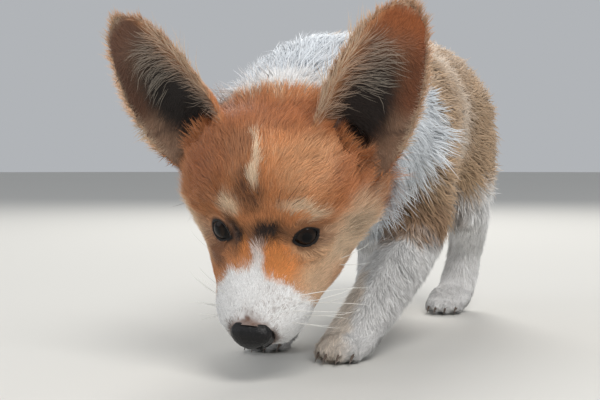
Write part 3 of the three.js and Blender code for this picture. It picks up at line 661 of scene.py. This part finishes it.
def grain_in(nodes, links, kind, scale):
    """A pattern that lies fixed in the piece, with so many cells or waves to the metre."""
    where = nodes.new("ShaderNodeTexCoord")
    grain = nodes.new(kind)
    grain.inputs["Scale"].default_value = scale
    links.new(where.outputs["Object"], grain.inputs["Vector"])
    return grain


def coat_finish(name, roughness, grain, bump, sheen):
    """Coat or skin: the point colours, varied hair by hair, with a fine raised grain."""
    material = bpy.data.materials.new(name)
    material.use_nodes = True
    nodes, links = material.node_tree.nodes, material.node_tree.links
    shader = nodes["Principled BSDF"]
    shader.inputs["Roughness"].default_value = roughness
    shader.inputs["Specular IOR Level"].default_value = 0.3
    shader.inputs["Sheen Weight"].default_value = sheen
    shader.inputs["Sheen Roughness"].default_value = 0.4
    colour = nodes.new("ShaderNodeAttribute")
    colour.attribute_name = "coat"
    noise = grain_in(nodes, links, "ShaderNodeTexNoise", grain)
    noise.inputs["Detail"].default_value = 4
    vary = nodes.new("ShaderNodeHueSaturation")
    spread = nodes.new("ShaderNodeMapRange")
    spread.inputs["From Min"].default_value = 0.3
    spread.inputs["From Max"].default_value = 0.7
    spread.inputs["To Min"].default_value = 0.86
    spread.inputs["To Max"].default_value = 1.12
    links.new(noise.outputs["Fac"], spread.inputs["Value"])
    links.new(spread.outputs["Result"], vary.inputs["Value"])
    links.new(colour.outputs["Color"], vary.inputs["Color"])
    links.new(vary.outputs["Color"], shader.inputs["Base Color"])
    if bump:
        raised = nodes.new("ShaderNodeBump")
        raised.inputs["Strength"].default_value = bump
        raised.inputs["Distance"].default_value = 0.0006
        links.new(noise.outputs["Fac"], raised.inputs["Height"])
        links.new(raised.outputs["Normal"], shader.inputs["Normal"])
    return material


# Painted shade: the skin and underfur take the coat's colours a fifth darker, for the shade deep under
# the hair
store_colour(skin_mesh, skin_colour * 0.8)
rounded(skin_mesh)
skin_mesh.materials.clear()
skin_mesh.materials.append(coat_finish("skin_and_underfur", 0.65, 900, 0.5, 0.1))
skin = put("skin", skin_mesh)
bpy.context.view_layer.objects.active = skin
skin.select_set(True)
bpy.ops.object.mode_set(mode="EDIT")
bpy.ops.mesh.select_all(action="SELECT")
skin_mesh.uv_layers.new(name="OFBake")
bpy.ops.uv.smart_project(angle_limit=radians(80), island_margin=0.002)
bpy.ops.object.mode_set(mode="OBJECT")
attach(skin, "root")
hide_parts(*FLESH)


# Eyes. Wet brown eyes, so dark that the pupil hardly shows, each a ball with the clear bulge of
# the cornea on its gaze. They are separate balls behind the lids.
CORNEA_BULGE = 0.55
# From the gaze outwards: black pupil, dark brown iris, black edge, and the ball's dull white
EYE_STOPS = (
    (0.0, (3, 3, 4)), (0.27, (4, 3, 3)), (0.33, (24, 16, 12)), (0.5, (38, 26, 18)),
    (0.62, (14, 10, 8)), (0.68, (6, 5, 5)), (0.8, (24, 20, 18)), (1.0, (40, 34, 32)),
)


def stained(nodes, links, source, stops):
    """Gives the finish a colour that runs through the stops as the source's value rises."""
    tone = nodes.new("ShaderNodeValToRGB")
    table = tone.color_ramp.elements
    for i, (at, colour) in enumerate(stops):
        stop = table[i] if i < 2 else table.new(at)
        stop.position = at
        stop.color = (*linear(*colour), 1)
    links.new(source, tone.inputs["Fac"])
    links.new(tone.outputs["Color"], nodes["Principled BSDF"].inputs["Base Color"])


def eye_finish():
    material = bpy.data.materials.new("wet_brown_eye")
    material.use_nodes = True
    nodes, links = material.node_tree.nodes, material.node_tree.links
    shader = nodes["Principled BSDF"]
    shader.inputs["Roughness"].default_value = 0.1
    shader.inputs["IOR"].default_value = 1.2
    shader.inputs["Coat Weight"].default_value = 0.12
    shader.inputs["Coat Roughness"].default_value = 0.02
    angle = nodes.new("ShaderNodeAttribute")
    angle.attribute_name = "from_gaze"
    noise = grain_in(nodes, links, "ShaderNodeTexNoise", 1400)
    wavy = nodes.new("ShaderNodeMath")
    wavy.operation = "MULTIPLY_ADD"
    wavy.inputs[1].default_value = 0.05
    links.new(noise.outputs["Fac"], wavy.inputs[0])
    links.new(angle.outputs["Fac"], wavy.inputs[2])
    stained(nodes, links, wavy.outputs["Value"], EYE_STOPS)
    return material


eye_material = eye_finish()
for name, side in (("left", 1), ("right", -1)):
    centre, corner, lid, gaze = eye_axes(side)
    eye_form = bmesh.new()
    bmesh.ops.create_uvsphere(eye_form, u_segments=64, v_segments=48, radius=EYE_RADIUS)
    eye_mesh = meshed(eye_form, "eyeball_" + name)
    ball = corners(eye_mesh)
    from_gaze = np.arccos(np.clip(ball[:, 2] / EYE_RADIUS, -1, 1))
    bulge = CORNEA_BULGE * ramp(from_gaze, 0.72, 0.2)
    ball *= (1 + bulge / EYE_RADIUS)[:, None]
    turned = centre + ball @ np.array([corner * side, lid, gaze])
    reshape(eye_mesh, out_of_head(turned))
    if side < 0:
        eye_mesh.flip_normals()
    layer = eye_mesh.attributes.new(name="from_gaze", type="FLOAT", domain="POINT")
    layer.data.foreach_set("value", from_gaze.astype(np.float32))
    rounded(eye_mesh)
    eye_mesh.materials.append(eye_material)
    eyeball = put("eyeball_" + name, eye_mesh)
    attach(eyeball, "root")
    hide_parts("eye_" + name)


# Nose. Black, damp, pebbled leather with a comma-shaped nostril on each side. It sits on the flat
# front of the muzzle, and the muzzle's hair laps its edge. From the front it is a soft square, a
# little wider above.
NOSE_HALF = (10.9, 7.7, 8.9)
NOSE_CELL = 0.00035
NOSE_SQUARE, NOSE_WIDER_ABOVE, NOSE_LOWERED = 0.13, 0.006, 0.9
nose_form = bmesh.new()
nose_form.from_mesh(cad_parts["nose"].data)
bmesh.ops.remove_doubles(nose_form, verts=nose_form.verts, dist=1e-5)
nose_mesh = grown_together(nose_form, "nose_leather", NOSE_CELL, 3)
nose_place = in_head(corners(nose_mesh))
nose_centre = (nose_place.min(0) + nose_place.max(0)) / 2
nose_side, _, nose_up = (nose_place - nose_centre).T
round_angle = np.arctan2(nose_up / NOSE_HALF[2], nose_side / NOSE_HALF[0])
square = 1 + NOSE_SQUARE * np.sin(2 * round_angle) ** 2
nose_place[:, 0] = nose_centre[0] + nose_side * square * (1 + NOSE_WIDER_ABOVE * nose_up)
nose_place[:, 2] = nose_centre[2] - NOSE_LOWERED + nose_up * square
reshape(nose_mesh, out_of_head(nose_place))
leather = paint("nose_leather", linear(24, 21, 22), 0.42)
nodes, links = leather.node_tree.nodes, leather.node_tree.links
shader = nodes["Principled BSDF"]
shader.inputs["Specular IOR Level"].default_value = 0.3
shader.inputs["Coat Weight"].default_value = 0.08
shader.inputs["Coat Roughness"].default_value = 0.25
pebbles = grain_in(nodes, links, "ShaderNodeTexVoronoi", 1300)
raised = nodes.new("ShaderNodeBump")
raised.invert = True
raised.inputs["Strength"].default_value = 0.7
raised.inputs["Distance"].default_value = 0.0003
links.new(pebbles.outputs["Distance"], raised.inputs["Height"])
links.new(raised.outputs["Normal"], shader.inputs["Normal"])
stained(nodes, links, pebbles.outputs["Distance"], ((0, (26, 23, 24)), (0.6, (9, 8, 9))))
nose_mesh.materials.clear()
nose_mesh.materials.append(leather)
rounded(nose_mesh)
nose = put("nose_leather", nose_mesh)
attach(nose, "root")
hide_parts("nose")


# Claws. Short, dark, curved horn, four to a foot, that grow out of the toes. Each is a thin cone
# bent down towards the floor. PAWS holds each paw's middle and the side of the dog it is on, and
# TOES holds a toe's share of the paw's half width, how far back it lies from there, and its size.
PAWS = {(15, -141): 1, (-36, -118): -1, (23, 77): 1, (-31, 57): -1}
TOES = ((-0.62, -1, 1.0), (-0.24, -6, 1.08), (0.2, -6, 1.08), (0.6, -1.5, 1.0))
PAW_HALF_WIDTH = 16
CLAW_LENGTH, CLAW_ROOT, CLAW_TIP = 9, 1.5, 0.25
CLAW_HEIGHT, CLAW_DROP, CLAW_REACH = 6.6, 3.6, 7.5
claw_form = bmesh.new()
for (paw_x, paw_y), side in PAWS.items():
    for across, back, size in TOES:
        before = len(claw_form.verts)
        made = bmesh.ops.create_cone(
            claw_form, cap_ends=True, segments=10, radius1=CLAW_ROOT, radius2=CLAW_TIP, depth=CLAW_LENGTH
        )["verts"]
        sides = {e for v in made for e in v.link_edges if abs(e.verts[0].co.z - e.verts[1].co.z) > 5}
        bmesh.ops.subdivide_edges(claw_form, edges=list(sides), cuts=5)
        made = list(claw_form.verts)[before:]
        toe = Vector((paw_x + across * PAW_HALF_WIDTH * side, paw_y + back + 1))
        for v in made:
            t = (v.co.z + CLAW_LENGTH / 2) / CLAW_LENGTH
            ahead = toe.y - 5.5 * size - CLAW_REACH * t
            v.co = from_body(toe.x + v.co.x * 0.8, ahead, CLAW_HEIGHT + v.co.y - CLAW_DROP * t * t)
bmesh.ops.recalc_face_normals(claw_form, faces=claw_form.faces)
claw_mesh = meshed(claw_form, "claws")
horn = paint("claw_horn", linear(66, 56, 50), 0.35)
nodes, links = horn.node_tree.nodes, horn.node_tree.links
streaks = grain_in(nodes, links, "ShaderNodeTexNoise", 500)
stained(nodes, links, streaks.outputs["Fac"], ((0, (44, 37, 33)), (1, (120, 104, 92))))
rounded(claw_mesh)
claw_mesh.materials.append(horn)
claws = put("claws", claw_mesh)
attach(claws, "root")


# Coat. A puppy's short plush on the face, ears and legs, and softer, longer hair on the ruff and
# the trunk. It is grown in tufts of a few hairs each. They lie back from the nose over the head,
# along the trunk and down its sides, down the legs to the toes, and up an ear to its tip.
facing = upright(skin_mesh)
place = corners(skin_mesh)
head_place, body_place = in_head(place), in_body(place)
hx, hy, hz = head_place.T
bx, by, bz = body_place.T


def way(x, y, z):
    """A way at every point of the skin, from parts that may be one number for all."""
    return np.stack([np.broadcast_to(part, len(place)) for part in (x, y, z)], 1).astype(float)


def unit(ways):
    """Ways of length 1."""
    return ways / np.maximum(np.linalg.norm(ways, axis=1), 1e-6)[:, None]


def laid_flat(ways, out):
    """Ways with nothing left in them that points outwards."""
    return ways - (ways * out).sum(1)[:, None] * out


# Which way the hair lies on each part of the dog
low_cheek = ramp(hz, 0, -22) * ramp(hy, -20, 10)
lie_head = way(hx / 34, 1, 0.25 * ramp(hy, -10, 15) - 0.8 * low_cheek)
for side in EYE_SIDES:
    away = head_place - eye_axes(side)[0]
    distance = np.linalg.norm(away, axis=1)
    lie_head += away / np.maximum(distance, 1)[:, None] * (3 * ramp(distance, 17, 9))[:, None]
for side in EYE_SIDES:
    own = on_ear * (hx * side > 0)
    lie_head = lie_head * (1 - own)[:, None] + ear_axes(side)[1] * own[:, None] * 1.5
lie_head += (ear_lie * 1.5 - lie_head) * inside_ear[:, None]
lie_head += (rim_lie * 1.5 - lie_head) * ear_rim[:, None]
lie = (lie_head @ head_axes.T) * (head_share + ear_share)[:, None]
top = np.clip(facing[:, 2], -1, 1)
lie += way(0.25 * np.sign(bx) * ramp(abs(bx), 5, 40), 0.9, 0.1 - 0.75 * (1 - top)) * neck_share[:, None]
rump = ramp(by, 85, 125)
chest = ramp(by, -70, -115) * ramp(bz, 120, 90)
lie_trunk = way(0, 1 - 0.5 * rump - 0.8 * chest, -0.25 * (1 - top) - 1.1 * rump - chest)
lie += lie_trunk * torso_share[:, None]
low_leg = ramp(bz, 105, 70)[:, None]
paw = ramp(bz, 24, 12)
lie_leg = lie_trunk * (1 - low_leg) + way(0, 0.2 - 1.2 * paw, -1 + 0.6 * paw) * low_leg
lie += lie_leg * leg_share[:, None] + way(0, 0.5, -1) * tail_share[:, None]
lie = even(unit(laid_flat(lie, facing)), 8)
lie = unit(laid_flat(lie, facing))

# Length of the coat in millimetres, and its lift off the skin in degrees
cheek = ramp(abs(hx), 26, 40) * ramp(hy, -12, 12)
length = head_share * (
    2.4 + 2.6 * ramp(hy, -30, -5) + 2.2 * ramp(hy, 5, 30) + 3 * ramp(hy, 45, 62) + 4.5 * cheek
)
nape = ramp(bz, 135, 165)
length += neck_share * (23 - 5 * nape) + torso_share * (16 + 3 * ramp(bz, 90, 75)) + tail_share * 15
length -= 4 * torso_share * ramp(by, -60, -90) * nape
length += leg_share * (3.6 + 2.4 * ramp(bz, 15, 35) + 10 * ramp(bz, 60, 100))
length = length * (1 - on_ear) + 4.2 * on_ear + 2.6 * ear_rim
lift = head_share * (13 + 9 * cheek) + neck_share * (19 - 12 * nape) + tail_share * 24
lift += torso_share * (20 - 15 * ramp(by, -40, -70) * nape)
lift += leg_share * 17
lift = lift * (1 - on_ear) + (15 - 9 * ear_rim) * on_ear
# Where the trunk meets the ruff its hair is short and flat
front_edge = torso_share * ramp(by, -70, -95)
length *= 1 - 0.3 * front_edge
lift *= 1 - 0.85 * front_edge

# Neighbouring tufts bend together in clumps, and whole patches of coat drift one way
rng = np.random.default_rng(11)
clumps = even(rng.standard_normal((len(place), 3)), 5)
clumps /= clumps.std()
drifts = even(rng.standard_normal((len(place), 2)), 40)
drifts /= drifts.std()

# The skin's triangles, their places on its flat map, and their areas in square millimetres
triangles = rows_of(skin_mesh.loop_triangles, "vertices", 3, np.int64)
loops = rows_of(skin_mesh.loop_triangles, "loops", 3, np.int64)
unwrap = rows_of(skin_mesh.uv_layers["OFBake"].uv, "vector", 2, np.float32)[loops]
p0, p1, p2 = (place[triangles[:, k]] for k in range(3))
triangle_area = np.linalg.norm(np.cross(p1 - p0, p2 - p0), axis=1) / 2 * 1e6
hair_finish = coat_finish("coat", 0.55, 2600, 0, 0.25)

# A tuft's ring has three points, and its two upper faces are lit much as the coat under it is.
# A spike is one taper from its root to its point. A blade also bends up at its middle.
THREE_SIDES = np.array([[1, 0], [0, 1], [-1, 0]])
FACE_WAYS = ((0.4, 0.92, 0), (-0.4, 0.92, 0), (0, -1, 0))
SPIKE = ((0, 1, 0), (1, 0, 0))
BLADE = ((0, 1, 0), (0.5, 0.8, 0.11), (1, 0, 0))
TUFT_ON_MAP = 0.003
ROOT_SHADE, LIGHTER_TO_TIP = 0.72, 0.4
ROOT_DEPTH, FLOOR_GAP = 0.0003, 0.0001
PALE_EAR_HAIR = linear(198, 184, 166)


def tufts(name, profile, root, out, along, long, wide, rise, bend, colour, spots):
    """One joined mesh of closed, tapered, three-sided tufts, each a ring at every row of the
    profile (share of length, of width, and height over the straight line) and a point."""
    across = np.cross(out, along)
    n, rows = len(root), len(profile) - 1
    reach = along * np.cos(rise)[:, None] + out * np.sin(rise)[:, None]
    points = np.empty((n, rows * 3 + 1, 3))
    tints = np.empty((n, rows * 3 + 1, 3))
    for k, (t, width, height) in enumerate(profile):
        middle_line = root + (reach * (t * long)[:, None] + out * (height * long)[:, None]) / 1000
        middle_line = middle_line + across * (bend * t * t * long)[:, None] / 1000
        tint = colour * (ROOT_SHADE + LIGHTER_TO_TIP * t)
        if k == rows:
            points[:, -1], tints[:, -1] = middle_line, tint
            break
        for j, (x, y) in enumerate(THREE_SIDES):
            half = wide * width / 2
            offset = across * (x * half)[:, None] + out * (y * half * 0.5)[:, None]
            points[:, k * 3 + j] = middle_line + offset / 1000
            tints[:, k * 3 + j] = tint
    faces, sizes, ways = [[0, 2, 1]], [3], [(0, 0, -1)] * 3
    for k in range(rows - 1):
        for j in range(3):
            i = (j + 1) % 3
            faces.append([k * 3 + j, k * 3 + i, k * 3 + 3 + i, k * 3 + 3 + j])
            sizes.append(4)
            ways += [FACE_WAYS[j]] * 4
    last = (rows - 1) * 3
    for j in range(3):
        faces.append([last + j, last + (j + 1) % 3, rows * 3])
        sizes.append(3)
        ways += [FACE_WAYS[j]] * 3
    points[..., 2] = np.maximum(points[..., 2], FLOOR_GAP)
    pattern = np.concatenate(faces)
    per = rows * 3 + 1
    corner_index = (np.arange(n)[:, None] * per + pattern).ravel()
    mesh = bpy.data.meshes.new(name)
    mesh.vertices.add(n * per)
    mesh.vertices.foreach_set("co", points.ravel())
    mesh.loops.add(len(corner_index))
    mesh.loops.foreach_set("vertex_index", corner_index.astype(np.int32))
    starts = np.concatenate([[0], np.cumsum(np.tile(sizes, n))[:-1]])
    mesh.polygons.add(len(starts))
    mesh.polygons.foreach_set("loop_start", starts.astype(np.int32))
    mesh.update(calc_edges=True)
    rounded(mesh)
    normals = np.einsum("lk,nkd->nld", np.array(ways, float), np.stack([across, out, along], 1))
    mesh.normals_split_custom_set(normals.reshape(-1, 3))
    store_colour(mesh, tints.reshape(-1, 3))
    # Each tuft takes a small piece of the flat map, where its root is on the skin's
    low, high = spots.min(0), spots.max(0)
    spots = 0.01 + 0.98 * (spots - low) / np.maximum(high - low, 1e-6)
    local = np.array([[(j - 1) / 2, k / rows - 0.5] for k in range(rows) for j in range(3)] + [[0, 0.5]])
    uv = spots[:, None, :] + local[None] * TUFT_ON_MAP
    layer = mesh.uv_layers.new(name="OFBake")
    layer.uv.foreach_set("vector", uv.reshape(-1, 2)[corner_index].astype(np.float32).ravel())
    mesh.materials.append(hair_finish)
    piece = put(name, mesh)
    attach(piece, "root")


def grow(name, profile, where, per_mm2, thick, seed, stretch=1.0, pale=0.0):
    """Tufts over the part of the skin where a share at its points is high, so many to the square
    millimetre and so thick. Each takes its lie, length and lift from the skin at its root."""
    draw = np.random.default_rng(seed)
    share_here = where[triangles].mean(1)
    number = triangle_area * per_mm2 * share_here
    number = np.floor(number + draw.random(len(number))).astype(int)
    face = np.repeat(np.arange(len(number)), number)
    n = len(face)
    s, t = draw.random(n), draw.random(n)
    over = s + t > 1
    s[over], t[over] = 1 - s[over], 1 - t[over]
    part = np.stack([1 - s - t, s, t], 1)
    own = triangles[face]

    def at(values):
        return (values[own] * (part if values.ndim == 1 else part[:, :, None])).sum(1)

    out = unit(at(facing))
    root = at(place) - out * ROOT_DEPTH
    along = at(lie)
    clump = at(clumps)
    side_step = np.cross(out, along)
    drift = at(drifts)
    turn = 0.09 * clump[:, 0] + 0.1 * drift[:, 1] + draw.normal(0, 0.13, n)
    along = unit(laid_flat(along + side_step * turn[:, None], out))
    long = at(length) * stretch * np.clip(draw.normal(1, 0.16, n) + 0.08 * clump[:, 1], 0.55, 1.5)
    wide = thick * draw.uniform(0.7, 1.2, n)
    rise = np.radians(at(lift) * np.clip(draw.normal(1, 0.25, n) + 0.1 * clump[:, 2], 0.2, 1.5))
    bend = 0.12 * clump[:, 0] + draw.normal(0, 0.07, n)
    shifted = root + side_step * draw.normal(0, 0.0004, n)[:, None]
    strayed = shifted + along * draw.normal(0, 0.0011, n)[:, None]
    colour = chart(strayed, at(weights))
    shade = draw.normal(1, 0.13, n) + 0.05 * drift[:, 0] + 0.05 * clump[:, 2]
    colour *= np.clip(shade, 0.55, 1.5)[:, None]
    lining = ear_lining(at(hx), at(ear_along), at(ear_across)) * draw.uniform(0.8, 1.2, n)[:, None]
    colour += (lining - colour) * at(inside_ear)[:, None]
    # Painted rim light: the rims of the ears are painted cream, as the light from behind makes them pale
    colour += (CREAM - colour) * (0.6 * at(ear_rim))[:, None]
    colour += (PALE_EAR_HAIR - colour) * pale
    spots = (unwrap[face] * part[:, :, None]).sum(1)
    tufts(name, profile, root, out, along, long, wide, rise, bend, colour, spots)


# The parts that the coat is grown in. The rims of the lids and the nose leather stay bare.
off_lids = ramp(lid_edge, 0.8, 1.5)
off_nose = ramp(np.linalg.norm((head_place - np.array(NOSE_MIDDLE)) / NOSE_HALF, axis=1), 1.0, 1.1)
haired = off_lids * off_nose
face_part = ramp(hy, 22, 16) * (head_share > 0.5) * (1 - on_ear)
crown_part = np.clip((head_share > 0.5) * (1 - on_ear) - face_part, 0, 1)
ear_part = (on_ear > 0.5) | ((ear_share > 0.5) & (head_share <= 0.5))
rest = (head_share <= 0.5) & ~ear_part
ruff_part = rest & (neck_share >= 0.5)
body_part = rest & ~ruff_part & (bz > 62)
leg_part = rest & ~ruff_part & ~body_part
grow("coat_muzzle", SPIKE, face_part * haired * (hy < -8), 4.2, 0.5, 21)
grow("coat_face", SPIKE, face_part * haired * (hy >= -8), 3.6, 0.55, 22)
grow("coat_crown", SPIKE, crown_part * haired, 2.6, 0.65, 23)
grow("coat_ears", SPIKE, ear_part * (1 - 0.5 * inside_ear), 3.4, 0.5, 24)
# Long pale hair stands across the middle of each ear, and low down at its inner edge
hairy = inside_ear * on_ear * ramp(ear_along, 0.25, 0.4) * ramp(ear_along, 0.74, 0.6)
hairy *= ramp(ear_across, 0.2, -0.35)
inner_edge = ramp(ear_along, 0.36, 0.3) * ramp(ear_across, -0.5, -0.75)
hairy = np.maximum(hairy, inside_ear * on_ear * inner_edge)
grow("ear_hair", BLADE, hairy, 0.5, 0.3, 31, stretch=2.5, pale=0.35)
for name, half, seed in (("ruff_left", bx >= 0, 25), ("ruff_right", bx < 0, 35)):
    grow(name, BLADE, ruff_part * half, 0.9, 0.75, seed)
grow("coat_shoulders", BLADE, body_part * (by < -20), 0.57, 0.78, 26)
grow("coat_flanks", BLADE, body_part * (by >= -20) * (by < 60), 0.75, 0.75, 27)
grow("coat_rump", BLADE, body_part * (by >= 60), 0.65, 0.77, 28)
grow("coat_front_legs", SPIKE, leg_part * (by < 0), 1.7, 0.75, 29)
grow("coat_hind_legs", SPIKE, leg_part * (by >= 0), 1.7, 0.75, 30)


# Whiskers. Long, stiff, tapered hairs: white ones in rows on the upper lip, and a few fine ones
# over each eye, on the cheeks and under the chin. Each grows from the skin nearest its place.
# A row holds a place on the head, a way, a length in millimetres, and 1 for white or 0 for brown.
WHITE_WHISKER, BROWN_WHISKER = linear(240, 238, 232), linear(70, 50, 40)
WHISKERS = [
    ((13, -34, -8), (0.9, 0.35, -0.1), 27, 1), ((15, -38, -12), (0.95, 0.2, -0.3), 31, 1),
    ((16, -33, -13), (0.9, 0.3, -0.35), 35, 1), ((17, -37, -17), (0.9, 0.15, -0.5), 33, 1),
    ((18, -31, -18), (0.85, 0.3, -0.55), 37, 1), ((17, -41, -18), (0.8, 0.05, -0.6), 27, 1),
    ((18, -35, -22), (0.8, 0.15, -0.7), 32, 1), ((19, -27, -15), (0.95, 0.4, -0.3), 36, 1),
    ((15, -42, -14), (0.85, 0.1, -0.4), 22, 1), ((19, -29, -22), (0.8, 0.3, -0.7), 28, 1),
    ((-16, -34, -8), (-0.9, 0.35, 0.1), 20, 1), ((-18, -38, -12), (-0.95, 0.15, -0.1), 24, 1),
    ((-19, -33, -13), (-0.9, 0.3, 0), 27, 1), ((-20, -37, -17), (-0.9, 0.1, -0.3), 25, 1),
    ((-21, -31, -18), (-0.85, 0.3, -0.2), 27, 1), ((-20, -41, -18), (-0.85, -0.1, -0.5), 20, 1),
    ((-21, -35, -22), (-0.8, 0.15, -0.6), 24, 1), ((-22, -27, -15), (-0.95, 0.4, -0.1), 24, 1),
    ((-18, -42, -14), (-0.9, -0.05, -0.25), 18, 1), ((-22, -29, -22), (-0.8, 0.3, -0.5), 22, 1),
    ((13, 6, 18), (0.5, 0.8, 0.45), 19, 0), ((15, 5, 18), (0.75, 0.6, 0.35), 17, 0),
    ((11, 6, 18), (0.2, 0.9, 0.4), 15, 0), ((-15, 6, 16), (-0.5, 0.8, 0.3), 16, 0),
    ((-17, 5, 15), (-0.8, 0.5, 0.3), 15, 0), ((38, -10, -16), (0.8, 0.5, -0.3), 24, 1),
    ((37, -12, -19), (0.7, 0.3, -0.6), 20, 1), ((-36, -10, -16), (-0.8, 0.5, 0), 18, 1),
    ((3, -40, -31), (0.2, -0.3, -0.9), 9, 1), ((-5, -40, -31), (-0.3, -0.3, -0.9), 9, 1),
    ((6, -36, -32), (0.5, -0.1, -0.9), 11, 1), ((-9, -36, -32), (-0.5, -0.1, -0.9), 11, 1),
]
HAIR = ((0, 1, 0), (0.3, 0.85, 0.03), (0.65, 0.6, 0.02), (1, 0, -0.05))
vertex_spot = np.zeros((len(place), 2))
vertex_spot[triangles] = unwrap
nearest = [np.argmin(((head_place - row[0]) ** 2).sum(1)) for row in WHISKERS]
hair_way = np.array([row[1] for row in WHISKERS], float) @ head_axes.T
hair_out = unit(facing[nearest])
hair_way -= (hair_way * hair_out).sum(1)[:, None] * hair_out * 0.75
hair_way = unit(hair_way)
hair_out = unit(laid_flat(hair_out, hair_way))
hair_long = np.array([row[2] for row in WHISKERS], float)
is_white = np.array([row[3] for row in WHISKERS])
draw = np.random.default_rng(41)
tufts(
    "whiskers", HAIR, place[nearest] - hair_out * 0.0004, hair_out, hair_way, hair_long,
    np.where(is_white, 0.38, 0.28), np.radians(draw.uniform(8, 22, len(WHISKERS))),
    draw.normal(0, 0.1, len(WHISKERS)), np.where(is_white[:, None], WHITE_WHISKER, BROWN_WHISKER),
    vertex_spot[nearest],
)
